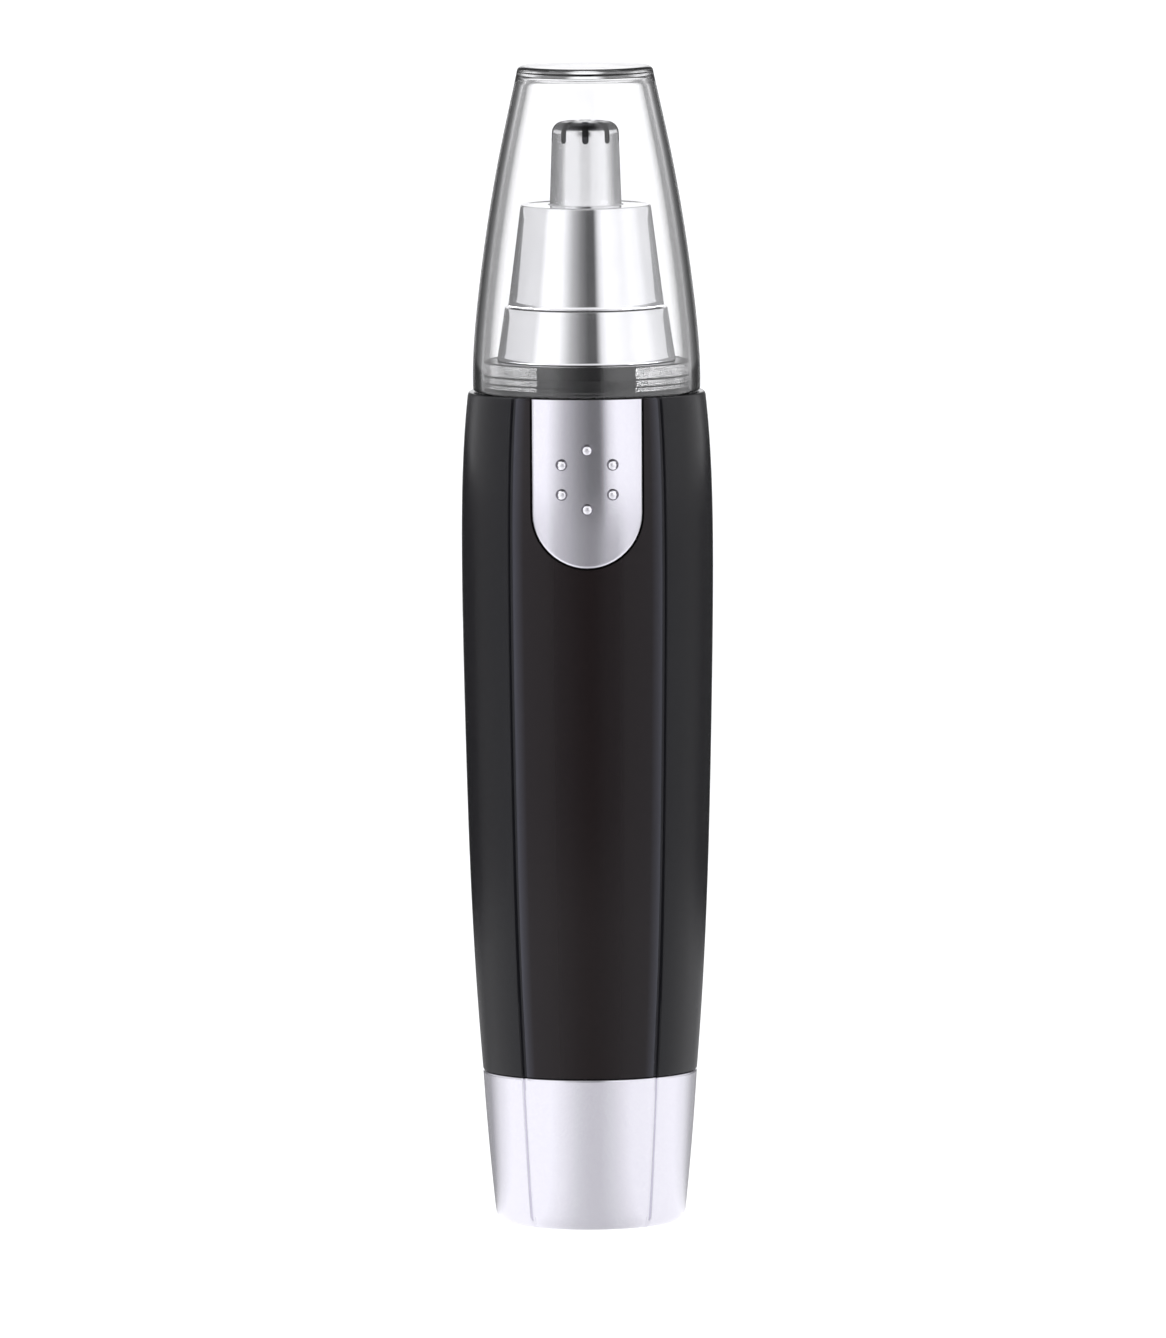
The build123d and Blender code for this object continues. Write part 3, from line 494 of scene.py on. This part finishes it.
def make_materials():
    """One material for every slot in the record."""
    made = {
        "barrel_black": barrel_black(),
        "silver_paint": silver_paint(),
        "chrome_plate": chrome_plate(),
        "clear_cap": clear_cap(),
        "stainless": stainless(),
        "copper": copper(),
        "core_steel": core_steel(),
        "board_phenolic": board_phenolic(),
        "cell_wrap": cell_wrap(),
        "black_plastic": plastic("black_plastic", (0.018, 0.018, 0.02), 0.42),
        "frame_plastic": plastic("frame_plastic", (0.07, 0.07, 0.075), 0.5),
        "white_plastic": plastic("white_plastic", (0.78, 0.77, 0.72), 0.42),
        "seal_rubber": plastic("seal_rubber", (0.02, 0.02, 0.02), 0.7, 0.12 * MM, 0.01 * MM),
        "magnet_ferrite": plastic("magnet_ferrite", (0.05, 0.05, 0.055), 0.6, 0.1 * MM, 0.015 * MM),
        "motor_steel": metal("motor_steel", (0.62, 0.62, 0.6), 0.32),
        "spring_steel": metal("spring_steel", (0.68, 0.68, 0.69), 0.22),
        "screw_steel": metal("screw_steel", (0.4, 0.4, 0.41), 0.3),
        "shaft_steel": metal("shaft_steel", (0.72, 0.72, 0.73), 0.14, (1, 1, 0.1)),
        "contact_brass": metal("contact_brass", (0.78, 0.58, 0.27), 0.25),
        "bush_bronze": metal("bush_bronze", (0.5, 0.31, 0.15), 0.4, size=0.08 * MM),
        "cell_steel": metal("cell_steel", (0.68, 0.68, 0.69), 0.25),
    }
    return {name: surface.material for name, surface in made.items()}


def paint_frame():
    """Gives each CAD node its slot's material."""
    slots = {part["node"]: part["material_slot"] for part in frame["record"]["subparts"]}
    for node, piece in frame["nodes"].items():
        for place in piece.material_slots:
            place.link = "OBJECT"
            place.material = MATERIALS[slots[node]]


# --- Outside pieces ------------------------------------------------------------------------------
def tongue(half, centre, top):
    """The thumb plate's U outline as (x, z) points, from its top left round its foot to its top right."""
    sides, steps = 14, 24
    left = [(-half, top + (centre - top) * k / sides) for k in range(sides)]
    foot = [math.radians(180 + 180 * k / steps) for k in range(steps + 1)]
    bottom = [(half * math.cos(a), centre + half * math.sin(a)) for a in foot]
    right = [(half, centre + (top - centre) * (k + 1) / sides) for k in range(sides)]
    return left + bottom + right


def prism_mesh(points, front, back):
    """A prism along Y from an outline of (x, z) points."""
    count = len(points)
    vertices = [(x, y, z) for y in (front, back) for x, z in points]
    faces = [(k, (k + 1) % count, count + (k + 1) % count, count + k) for k in range(count)]
    return vertices, [*faces, tuple(range(count)), tuple(range(2 * count - 1, count - 1, -1))]


def barrel():
    low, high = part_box("body_shell")
    bottom, top = low[2], high[2]
    profile = smooth_profile("body_shell", bottom + 0.3 * MM, top - 0.6 * MM)
    edge = 0.3 * MM
    rim, foot = profile(top), profile(bottom)
    lip = 0.12 * MM
    outline = grooved(corner(foot - lip, bottom + lip, lip, -90, 0))
    outline += grooved(sampled(profile, bottom + 2 * lip, top - 1.2 * edge, 110))
    outline += grooved(corner(rim - edge, top - edge, edge, 8, 90))
    outline += [(BARREL_BORE + lip, top), (BARREL_BORE, top - lip), (BARREL_BORE, BARREL_STEP)]
    outline += [(BARREL_MOUTH, BARREL_STEP), (BARREL_MOUTH, bottom + lip), (BARREL_MOUTH + lip, bottom)]
    azimuths = grooved_azimuths(264, float(foot))
    piece = new_piece("barrel", *lathe_mesh(outline, azimuths, groove_depth), "housing", "barrel_black")
    plate_low, plate_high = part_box("switch_plate")
    half = plate_high[0]
    centre = plate_low[2] + half
    points = tongue(half + POCKET_GAP, centre, top + 2 * MM)
    pocket = new_piece("pocket", *prism_mesh(points, -20 * MM, -5 * MM), None, None)
    floor = [(0, 50 * MM), (POCKET_RADIUS, 50 * MM), (POCKET_RADIUS, 110 * MM), (0, 110 * MM)]
    core = new_piece("core", *lathe_mesh(floor, even_azimuths(360)), None, None)
    carve(pocket, core)
    carve(piece, pocket)
    carve(piece, new_piece("slot", *box_mesh(*STEM_SLOT_BOX), None, None))
    tidy_normals(piece, 32)
    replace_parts(piece, "body_shell")


def thumb_plate():
    low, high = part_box("switch_plate")
    half, top = high[0], high[2]
    centre = low[2] + half
    profile = smooth_profile("body_shell", low[2] - 2 * MM, top - 0.6 * MM)
    insets = [PLATE_ROUNDING * (1 - math.cos(math.radians(a))) for a in range(0, 91, 15)]
    insets += [half * share for share in PLATE_SHARES]
    vertices, rows = [], []

    def add_row(inset, radius_of):
        row = []
        for x, z in tongue(max(half - inset, TINY / 10), centre, top):
            radius = radius_of(z)
            row.append(len(vertices))
            vertices.append((x, -math.sqrt(radius**2 - x**2), z))
        rows.append(row)

    for inset in reversed(insets):
        add_row(inset, lambda z: PLATE_BACK_RADIUS)
    for inset in insets:
        into = max(PLATE_ROUNDING - inset, 0)
        drop = PLATE_ROUNDING - math.sqrt(PLATE_ROUNDING**2 - into**2)
        add_row(inset, lambda z: profile(z) + PLATE_PROUD - drop)
    faces = []
    for first, second in zip(rows, rows[1:]):
        faces += [(first[k], first[k + 1], second[k + 1], second[k]) for k in range(len(first) - 1)]
    half_rows = len(insets)
    for k in range(half_rows - 1):
        back = rows[half_rows - 1 - k], rows[half_rows - 2 - k]
        front = rows[half_rows + k], rows[half_rows + k + 1]
        for end in (0, -1):
            faces.append((back[0][end], front[0][end], front[1][end], back[1][end]))
    stem = box_mesh(*STEM_BOX)
    faces += [tuple(len(vertices) + k for k in face) for face in stem[1]]
    vertices += stem[0]
    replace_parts(new_piece("thumb_plate", vertices, faces, "switch", "silver_paint", 50), "switch_plate")
    grip_bumps(top - BUMP_CENTRE_BELOW_TOP, profile)


def grip_bumps(middle, profile):
    """Six round bumps in a ring on the thumb plate, in a lighter silver that paints a highlight, each with
    painted shade in the crease round its foot.
    """
    angles = [math.radians(90 + 60 * index) for index in range(6)]
    places = [(BUMP_RING * math.cos(angle), middle + BUMP_RING * math.sin(angle)) for angle in angles]
    vertices, faces = [], []
    for x, z in places:
        add_bump(vertices, faces, x, z, profile(z) + PLATE_PROUD)
    bumps = new_piece("grip_bumps", vertices, faces, "switch", "silver_paint", 50)
    bumps.data.materials[0] = bump_silver_painted_highlight().material
    bumps.data.materials.append(bump_foot_painted_shade().material)
    # Faces reaching beyond the crown take the dark painted shade of the crease.
    for face in bumps.data.polygons:
        corners = [bumps.data.vertices[index].co for index in face.vertices]
        face.material_index = int(face_reach(corners, places) > BUMP_CROWN)


def face_reach(corners, places):
    """How far a face's outermost corner is from the axis of the nearest bump."""
    centre = sum(corners, Vector()) / len(corners)
    x, z = min(places, key=lambda place: math.hypot(centre.x - place[0], centre.z - place[1]))
    return max(math.hypot(point.x - x, point.z - z) for point in corners)


def add_bump(vertices, faces, x, z, radius):
    """Adds a bump with a soft foot, at a place on the plate's front of the given radius."""
    centre = Vector((x, -math.sqrt(radius**2 - x**2), z))
    out = Vector((centre.x, centre.y, 0)).normalized()
    side, up = out.cross(Vector((0, 0, 1))).normalized(), Vector((0, 0, 1))
    count = 24
    rows = []
    for share, lift in BUMP_OUTLINE:
        ring = []
        for k in range(count if share else 1):
            turn = 2 * math.pi * k / count
            flat = (side * math.cos(turn) + up * math.sin(turn)) * share * BUMP_RADIUS
            ring.append(len(vertices))
            vertices.append(tuple(centre + flat + out * lift * BUMP_HEIGHT))
        rows.append(ring)
    for first, second in zip(rows, rows[1:]):
        for k in range(count):
            n = (k + 1) % count
            face = [first[k], first[n], second[n % len(second)], second[k % len(second)]]
            faces.append(tuple(dict.fromkeys(face)))
    faces.append(tuple(reversed(rows[0])))


def bottom_cover():
    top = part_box("battery_cover")[1][2]
    start = 1.4 * MM
    profile = smooth_profile("battery_cover", start, top - 0.5 * MM, 3)
    edge, bevel = 1.5 * MM, 0.22 * MM
    foot = float(profile(start)) - edge
    outline = [(0, 0), (foot * 0.5, 0)] + corner(foot, edge, edge, -90, -4, 12)
    outline = [(r, z, smoothstep(foot, foot + 1.0 * MM, r)) for r, z in outline]
    outline += grooved(sampled(profile, start + 0.2 * MM, top - 1.5 * bevel, 30))
    outline += grooved(corner(float(profile(top)) - bevel, top - bevel, bevel, 15, 90))
    outline += [(COVER_BORE, top), (COVER_BORE, COVER_FLOOR), (0, COVER_FLOOR)]
    azimuths = grooved_azimuths(264, float(profile(top)))
    piece = new_piece("bottom_cover", *lathe_mesh(outline, azimuths, groove_depth), "cover", "silver_paint")
    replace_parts(piece, "battery_cover")


def clear_cover():
    low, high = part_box("protective_cap")
    bottom, top = low[2], high[2]
    edge = 0.7 * MM
    profile = smooth_profile("protective_cap", bottom + 0.2 * MM, top - 0.9 * MM)
    rim, tip = float(profile(bottom)), float(profile(top - edge))
    lip = 0.3 * MM
    roof = top - 1.2 * MM
    outline = corner(rim - lip, bottom + lip, lip, -90, 0, 4)
    outline += sampled(profile, bottom + 2 * lip, top - edge - 0.2 * MM, 90)
    outline += corner(tip - edge, top - edge, edge, 10, 90, 8)
    outline += [(tip * 0.5, top), (0, top), (0, roof)]
    inner = float(profile(roof)) - CAP_WALL
    outline += [(inner * 0.5, roof)] + corner(inner - 0.5 * MM, roof - 0.5 * MM, 0.5 * MM, 90, 10, 6)
    wall = [(r - CAP_WALL, z) for r, z in sampled(profile, bottom + 2 * lip, roof - 0.7 * MM, 90)]
    outline += wall[::-1] + corner(rim - CAP_WALL + lip, bottom + lip, lip, 180, 270, 4)
    piece = lathe("clear_cover", outline, "cap", "clear_cap", 240)
    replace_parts(piece, "protective_cap")


def neck():
    low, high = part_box("neck_collar")
    bottom, top = low[2], high[2]
    inside, outside = NECK_TAIL
    groove_low, groove_high = NECK_GROOVE
    thin, wide = SPIGOT_WALL
    edge, chamfer = 0.12 * MM, 0.1 * MM
    outline = [(inside, bottom), (outside, bottom), (outside, NECK_SHOULDER), (NECK_RADIUS, NECK_SHOULDER)]
    outline += [(NECK_RADIUS, groove_low), (NECK_GROOVE_RADIUS, groove_low)]
    outline += [(NECK_GROOVE_RADIUS, groove_high), (NECK_RADIUS, groove_high)]
    # Rings close to the wall's two ends keep the smooth shading between them flat.
    supports = (groove_high + 0.02 * MM, groove_high + 0.6 * MM, NECK_SEAT - edge - 0.03 * MM)
    outline += [(NECK_RADIUS, z) for z in supports]
    outline += corner(NECK_RADIUS - edge, NECK_SEAT - edge, edge, 0, 90)
    outline += [(wide, NECK_SEAT), (wide, top - chamfer), (wide - chamfer, top), (thin + chamfer, top)]
    outline += [(thin, top - chamfer), (thin, NECK_SEAT), (NECK_BORE, NECK_SEAT), (NECK_BORE, NECK_SHOULDER)]
    outline += [(inside, NECK_SHOULDER)]
    piece = lathe("neck", outline, "housing", "black_plastic", 192, 35)
    piece.data.materials[0] = neck_black().material
    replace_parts(piece, "neck_collar")


def neck_seal():
    """The ring that grips the cap, with a flat outer face."""
    low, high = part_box("collar_o_ring")
    radius, bottom, top, edge = high[0], low[2], high[2], 0.08 * MM
    outline = corner(radius - edge, bottom + edge, edge, -90, 0, 4)
    outline += [(radius, bottom + (top - bottom) * k / 6) for k in range(1, 6)]
    outline += corner(radius - edge, top - edge, edge, 0, 90, 4) + [(SEAL_INSIDE, top), (SEAL_INSIDE, bottom)]
    piece = lathe("neck_seal", outline, "housing", "seal_rubber", 192, 35)
    piece.data.materials[0] = neck_black().material
    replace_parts(piece, "collar_o_ring")


def lower_ring():
    low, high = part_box("head_base_ring")
    bottom, top = low[2], high[2]
    tree = tree_of("head_base_ring")
    foot, tip = (radius_at(tree, z) for z in (bottom + 0.05 * MM, top - 0.05 * MM))
    edge, chamfer = 0.06 * MM, 0.1 * MM
    outline = corner(foot - edge, bottom + edge, edge, -90, -5)
    outline += [(foot + (tip - foot) * k / 12, bottom + (top - bottom) * k / 12) for k in range(1, 12)]
    outline += corner(tip - edge, top - edge, edge, 5, 90)
    outline += [(RING_BORE + chamfer, top), (RING_BORE, top - chamfer), (RING_BORE, bottom)]
    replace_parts(lathe("lower_ring", outline, "housing", "chrome_plate", 240), "head_base_ring")


def upper_cone():
    low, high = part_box("head_cone")
    bottom, top = low[2], high[2]
    tree = tree_of("head_cone")
    foot, tip = (radius_at(tree, z) for z in (bottom + 0.05 * MM, top - 0.3 * MM))
    wall, chamfer = 0.8 * MM, 0.15 * MM
    edge, low_edge = 0.18 * MM, 0.07 * MM
    under = top - 1.0 * MM
    outline = corner(foot - low_edge, bottom + low_edge, low_edge, -90, -5)
    outline += [(foot + (tip - foot) * k / 16, bottom + (top - bottom) * k / 16) for k in range(1, 16)]
    outline += corner(tip - edge, top - edge, edge, 5, 90)
    outline += [(CONE_HOLE + chamfer, top), (CONE_HOLE, top - chamfer), (CONE_HOLE, under)]
    outline += [(tip - wall, under), (foot - wall, bottom)]
    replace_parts(lathe("upper_cone", outline, "cutter_head", "chrome_plate", 240), "head_cone")


def cutter_tube():
    low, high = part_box("outer_blade")
    foot, top = low[2], high[2]
    tree = tree_of("outer_blade")
    radius = radius_at(tree, top - TUBE_GAUGE_BELOW_TOP, TUBE_GAUGE_AZIMUTH)
    shoulder = radius_at(tree, TUBE_BASE + 0.1 * MM, TUBE_GAUGE_AZIMUTH)
    wall, roof, edge = 0.35 * MM, 0.4 * MM, 1.3 * MM
    flange, flange_radius = foot + 0.8 * MM, high[0]
    outline = [(flange_radius, foot), (flange_radius, flange), (shoulder, flange), (shoulder, TUBE_BASE)]
    taper, rise = radius - shoulder, top - edge - TUBE_BASE
    outline += [(shoulder + taper * k / 16, TUBE_BASE + rise * k / 16) for k in range(1, 16)]
    outline += corner(radius - edge, top - edge, edge, 0, 90, 10)
    outline += [(radius * 0.35, top), (0, top), (0, top - roof)]
    inside = edge - wall
    outline += corner(radius - edge, top - roof - inside, inside, 90, 0, 8)
    outline += [(radius - wall, foot)]
    piece = lathe("cutter_tube", outline, "cutter_head", "stainless", 216)
    for index in range(SLOT_COUNT):
        carve(piece, slot_cutter(top, 2 * math.pi * index / SLOT_COUNT))
    tidy_normals(piece, 32)
    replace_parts(piece, "outer_blade")


def slot_cutter(top, turn):
    """An upright blade with a rounded foot that cuts one slot of the cutter tube."""
    half, floor = SLOT_WIDTH / 2, top - SLOT_DEPTH
    foot = [math.radians(180 + 180 * k / 10) for k in range(11)]
    section = [(half * math.cos(a), floor + half + half * math.sin(a)) for a in foot]
    section += [(half, top + 1 * MM), (-half, top + 1 * MM)]
    vertices, faces = prism_mesh(section, -6 * MM, -1.3 * MM)
    cosine, sine = math.cos(turn), math.sin(turn)
    turned = [(x * cosine - y * sine, x * sine + y * cosine, z) for x, y, z in vertices]
    return new_piece("cutter", turned, faces, None, None)


# --- Studio --------------------------------------------------------------------------------------
# What the glossy surfaces mirror, as (azimuth in degrees, brightness). 0 is the front, 90 is +X.
# The floor has BASE_ZONES round the trimmer, NEAR_ZONES beyond them, and WALL_ZONES far out.
WALL_ZONES = (
    (-180, 0.95), (-174, 0.85), (-168, 0.14), (-150, 0.14), (-143, 0.35), (-136, 0.7), (-75, 0.69),
    (-66, 1.0), (-37, 1.0), (-28, 0.68), (-21, 0.45), (-8, 0.22), (3, 0.1), (13, 0.1), (20, 0.75),
    (28, 1.0), (44, 0.96), (58, 0.87), (73, 1.0), (90, 0.96), (104, 0.76), (136, 0.74), (143, 0.35),
    (150, 0.14), (168, 0.14), (174, 0.85), (180, 0.95),
)
NEAR_ZONES = (
    (-180, 0.9), (-173, 0.8), (-167, 0.02), (-132, 0.03), (-112, 0.35), (-98, 0.5), (-76, 0.72),
    (-36, 0.74), (-29, 0.5), (-20, 0.42), (-8, 0.28), (2, 0.22), (8, 0.24), (16, 0.38), (27, 0.42),
    (36, 0.72), (84, 0.72), (108, 0.5), (130, 0.1), (167, 0.02), (173, 0.8), (180, 0.9),
)
BASE_ZONES = (
    (-180, 0.2), (-134, 0.3), (-112, 0.75), (-92, 0.98), (-40, 0.98), (-25, 0.82), (-10, 0.62), (0, 0.56),
    (10, 0.56), (25, 0.7), (42, 0.9), (100, 0.95), (118, 0.8), (140, 0.4), (180, 0.2),
)
TUBE_ZONES = (
    (-180, 0.1), (-146, 0.14), (-108, 0.22), (-84, 0.42), (-66, 0.95), (-25, 1.0), (-9, 0.86),
    (9, 0.86), (25, 1.0), (66, 0.98), (84, 0.66), (108, 0.3), (146, 0.26), (180, 0.1),
)
MIRRORED_STRENGTH = 1.3
# A ray from the camera to a piece under the cap and out again crosses more cap surfaces than this.
CROSSINGS_FROM_INSIDE = 2.5
BACKDROP_STRENGTH = 0.8
BACKDROP_EXTRA_FOR_CAMERA = 0.4
FLOOR_HALF = 8.0
# Where the floor's zones change, as (start, end) distances from the axis.
BASE_REACH = (0.2, 0.3)
WALL_REACH = (1.5, 1.8)
# Where the surroundings change with height, as (start, end) heights of a direction of length 1.
CLEAR_TOP = (0.35, 0.6)
CLEAR_WHITE = (0.9, 0.9, 0.92, 1)
CEILING_START = (0.75, 0.88)
CEILING_ZONES = ((-180, 0.9), (-150, 0.8), (-110, 0.08), (110, 0.08), (150, 0.8), (180, 0.9))
GLINT_WIDTH = ((-26, 0), (-20, 1), (20, 1), (26, 0))
GLINT_LOW, GLINT_HIGH = (0.42, 0.5), (0.66, 0.74)
# The bands of light stand round the trimmer, each with a radius and the heights of its two edges.
STRIP_RADIUS = 1.14
STRIP_RISE = (0.0025, 0.03)
LEFT_STRIP_ZONES = ((-165, 0.2), (-126, 0.38), (-101, 0.46), (-82, 0.95), (-62, 0.85), (-50, 0.85))
RIGHT_STRIP_ZONES = ((50, 1.0), (63, 1.0), (80, 0.72), (97, 0.45), (120, 0.27), (165, 0.15))
CARD_RADIUS = 1.0
CARD_RISE = (0.03, 0.145)
CAMERA_DISTANCE = 2.5
CAMERA_ELEVATION = math.radians(5.3)
CAMERA_ROLL = math.radians(-0.3)
CAMERA_TARGET = (-0.57 * MM, 0, 62.2 * MM)
FRAME_HEIGHT = 0.150


class Stage:
    """Node helpers for the floor and the surroundings."""

    def __init__(self, tree):
        self.tree = tree

    def node(self, kind, *inputs, **settings):
        made = self.tree.nodes.new("ShaderNode" + kind)
        for key, value in settings.items():
            setattr(made, key, value)
        for index, value in enumerate(inputs):
            if isinstance(value, bpy.types.NodeSocket):
                self.tree.links.new(value, made.inputs[index])
            elif value is not None:
                made.inputs[index].default_value = value
        return made

    def math(self, operation, *inputs):
        return self.node("Math", *inputs, operation=operation).outputs[0]

    def azimuth(self, place):
        """The azimuth of a place or direction, from 0 to 1, with the front at 0.5."""
        split = self.node("SeparateXYZ", place)
        front = self.math("MULTIPLY", split.outputs["Y"], -1.0)
        angle = self.math("ARCTAN2", split.outputs["X"], front)
        return self.math("MULTIPLY_ADD", angle, 0.5 / math.pi, 0.5)

    def ramp(self, place, stops):
        made = self.node("ValToRGB", place)
        fill_ramp(made, [(degrees / 360 + 0.5, (value, value, value * 1.02)) for degrees, value in stops])
        return made.outputs["Color"]

    def seen_in_mirror(self):
        """1 for a ray that a glossy surface has turned, else 0."""
        return self.math("GREATER_THAN", self.node("LightPath").outputs["Glossy Depth"], 0.5)

    def seen_through(self):
        """1 for a ray from the camera that clear plastic has bent and nothing has mirrored, else 0."""
        path = self.node("LightPath")
        bent = self.math("GREATER_THAN", path.outputs["Transmission Depth"], 0.5)
        return self.math("MULTIPLY", bent, self.math("LESS_THAN", path.outputs["Glossy Depth"], 0.5))

    def mirrored_in_cap(self):
        """1 for a ray that the clear cap itself has mirrored inside its wall, else 0."""
        crossings = self.node("LightPath").outputs["Transmission Depth"]
        few = self.math("LESS_THAN", crossings, CROSSINGS_FROM_INSIDE)
        return self.math("MULTIPLY", few, self.math("GREATER_THAN", crossings, 0.5))

    def staged(self):
        """1 for a ray that sees the zones, else 0.

        Such a ray was mirrored, was bent by clear plastic, or is a sample of the lights.
        """
        path = self.node("LightPath")
        kinds = [path.outputs[f"Is {kind} Ray"] for kind in ("Camera", "Diffuse", "Glossy", "Transmission")]
        known = self.math("ADD", self.math("ADD", kinds[0], kinds[1]), self.math("ADD", kinds[2], kinds[3]))
        sample = self.math("LESS_THAN", known, 0.5)
        return self.math("MAXIMUM", sample, self.math("MAXIMUM", self.seen_in_mirror(), self.seen_through()))

    def blend(self, factor, first, second):
        return self.node("MixRGB", factor, first, second).outputs[0]

    def rise(self, value, start, end):
        """0 up to the start, 1 from the end on, and a straight ramp between."""
        return self.node("MapRange", value, start, end).outputs[0]

    def finish(self, output, factor, first, second):
        """Sends a mix of two shaders to the tree's output node."""
        mix = self.node("MixShader", factor, first.outputs[0], second.outputs[0])
        self.tree.links.new(mix.outputs[0], self.tree.nodes[output].inputs["Surface"])


def studio_world():
    world = bpy.data.worlds.new("studio")
    bpy.context.scene.world = world
    world.use_nodes = True
    stage = Stage(world.node_tree)
    place = stage.node("TexCoord").outputs["Generated"]
    around = stage.azimuth(place)
    up = stage.node("SeparateXYZ", place).outputs["Z"]
    ceiling = stage.ramp(around, CEILING_ZONES)
    zones = stage.blend(stage.rise(up, *CEILING_START), stage.ramp(around, WALL_ZONES), ceiling)
    band = stage.math("SUBTRACT", stage.rise(up, *GLINT_LOW), stage.rise(up, *GLINT_HIGH))
    glint = stage.math("MULTIPLY", band, stage.ramp(around, GLINT_WIDTH))
    zones = stage.blend(glint, zones, (1, 1, 1, 1))
    high = stage.rise(up, *CLEAR_TOP)
    zones = stage.blend(stage.math("MULTIPLY", high, stage.mirrored_in_cap()), zones, CLEAR_WHITE)
    zones = stage.blend(stage.seen_through(), zones, CLEAR_WHITE)
    to_camera = stage.node("LightPath").outputs["Is Camera Ray"]
    white = stage.math("MULTIPLY_ADD", to_camera, BACKDROP_EXTRA_FOR_CAMERA, BACKDROP_STRENGTH)
    plain = stage.node("Background", (0.98, 0.985, 1.0, 1), white)
    mirrored = stage.node("Background", zones, MIRRORED_STRENGTH)
    stage.finish("World Output", stage.staged(), plain, mirrored)


def flat_mesh(name, vertices, faces, material):
    mesh = bpy.data.meshes.new(name)
    mesh.from_pydata(vertices, [], faces)
    mesh.materials.append(material)
    piece = bpy.data.objects.new(name, mesh)
    bpy.context.scene.collection.objects.link(piece)
    return piece


def studio_floor():
    material = bpy.data.materials.new("floor")
    material.use_nodes = True
    stage = Stage(material.node_tree)
    place = stage.node("TexCoord").outputs["Object"]
    around = stage.azimuth(place)
    distance = stage.node("VectorMath", place, operation="LENGTH").outputs["Value"]
    base, near = stage.ramp(around, BASE_ZONES), stage.ramp(around, NEAR_ZONES)
    zones = stage.blend(stage.rise(distance, *BASE_REACH), base, near)
    zones = stage.blend(stage.rise(distance, *WALL_REACH), zones, stage.ramp(around, WALL_ZONES))
    zones = stage.blend(stage.mirrored_in_cap(), zones, stage.ramp(around, WALL_ZONES))
    zones = stage.blend(stage.seen_through(), zones, CLEAR_WHITE)
    mirrored = stage.node("Emission", zones, MIRRORED_STRENGTH)
    shader = material.node_tree.nodes["Principled BSDF"]
    shader.inputs["Base Color"].default_value = (0.9, 0.9, 0.9, 1)
    shader.inputs["Roughness"].default_value = 0.9
    shader.inputs["Specular IOR Level"].default_value = 0.0
    stage.finish("Material Output", stage.staged(), shader, mirrored)
    corners = [(x * FLOOR_HALF, y * FLOOR_HALF, 0) for x, y in ((-1, -1), (1, -1), (1, 1), (-1, 1))]
    # The cover and the cell slide out below the floor, so the camera looks through it.
    flat_mesh("floor", corners, [(0, 1, 2, 3)], material).visible_camera = False


def band_of_light(name, start, end, radius, rise, strength, zones):
    """A band between two azimuths in degrees, which only glossy surfaces under the clear cap see."""
    material = bpy.data.materials.new(name)
    material.use_nodes = True
    stage = Stage(material.node_tree)
    around = stage.azimuth(stage.node("TexCoord").outputs["Object"])
    glow = stage.node("Emission", stage.ramp(around, zones), strength)
    crossings = stage.node("LightPath").outputs["Transmission Depth"]
    from_inside = stage.math("GREATER_THAN", crossings, CROSSINGS_FROM_INSIDE)
    shown = stage.math("MULTIPLY", stage.seen_in_mirror(), from_inside)
    stage.finish("Material Output", shown, stage.node("BsdfTransparent"), glow)
    steps = 96
    vertices = []
    for k in range(steps + 1):
        angle = math.radians(start + (end - start) * k / steps)
        vertices += [(radius * math.sin(angle), -radius * math.cos(angle), z) for z in rise]
    faces = [(2 * k, 2 * k + 1, 2 * k + 3, 2 * k + 2) for k in range(steps)]
    band = flat_mesh(name, vertices, faces, material)
    band.visible_camera = band.visible_diffuse = band.visible_shadow = False


def softbox(name, place, target, width, height, power):
    light = bpy.data.lights.new(name, "AREA")
    light.shape, light.size, light.size_y, light.energy = "RECTANGLE", width, height, power
    lamp = bpy.data.objects.new(name, light)
    bpy.context.scene.collection.objects.link(lamp)
    lamp.location = place
    lamp.rotation_mode = "QUATERNION"
    lamp.rotation_quaternion = (Vector(target) - Vector(place)).to_track_quat("-Z", "Y")
    lamp.visible_glossy = lamp.visible_transmission = False


def studio_camera():
    data = bpy.data.cameras.new("camera")
    data.lens = data.sensor_width * CAMERA_DISTANCE / FRAME_HEIGHT
    data.clip_start, data.clip_end = 0.05, 50
    camera = bpy.data.objects.new("camera", data)
    bpy.context.scene.collection.objects.link(camera)
    back = Vector((0, -math.cos(CAMERA_ELEVATION), math.sin(CAMERA_ELEVATION)))
    camera.location = Vector(CAMERA_TARGET) + back * CAMERA_DISTANCE
    camera.rotation_mode = "QUATERNION"
    camera.rotation_quaternion = (-back).to_track_quat("-Z", "Y") @ Quaternion((0, 0, 1), CAMERA_ROLL)
    bpy.context.scene.camera = camera


MATERIALS = make_materials()
paint_frame()
barrel()
thumb_plate()
bottom_cover()
clear_cover()
neck()
neck_seal()
lower_ring()
upper_cone()
cutter_tube()
studio_world()
studio_floor()
softbox("key_left", (-0.75, -0.12, 0.16), target=(0, 0, 0.07), width=0.5, height=0.6, power=9)
softbox("fill_right", (0.8, -0.15, 0.16), target=(0, 0, 0.07), width=0.4, height=0.6, power=5)
softbox("top", (0, -0.1, 0.9), target=(0, 0, 0.05), width=0.7, height=0.7, power=7)
band_of_light("left_strip", -165, -56, STRIP_RADIUS, STRIP_RISE, 16.0, LEFT_STRIP_ZONES)
band_of_light("right_strip", 55, 165, STRIP_RADIUS, STRIP_RISE, 24.0, RIGHT_STRIP_ZONES)
band_of_light("tube_card", -180, 180, CARD_RADIUS, CARD_RISE, MIRRORED_STRENGTH, TUBE_ZONES)
studio_camera()
bpy.context.scene.view_settings.view_transform = "Standard"
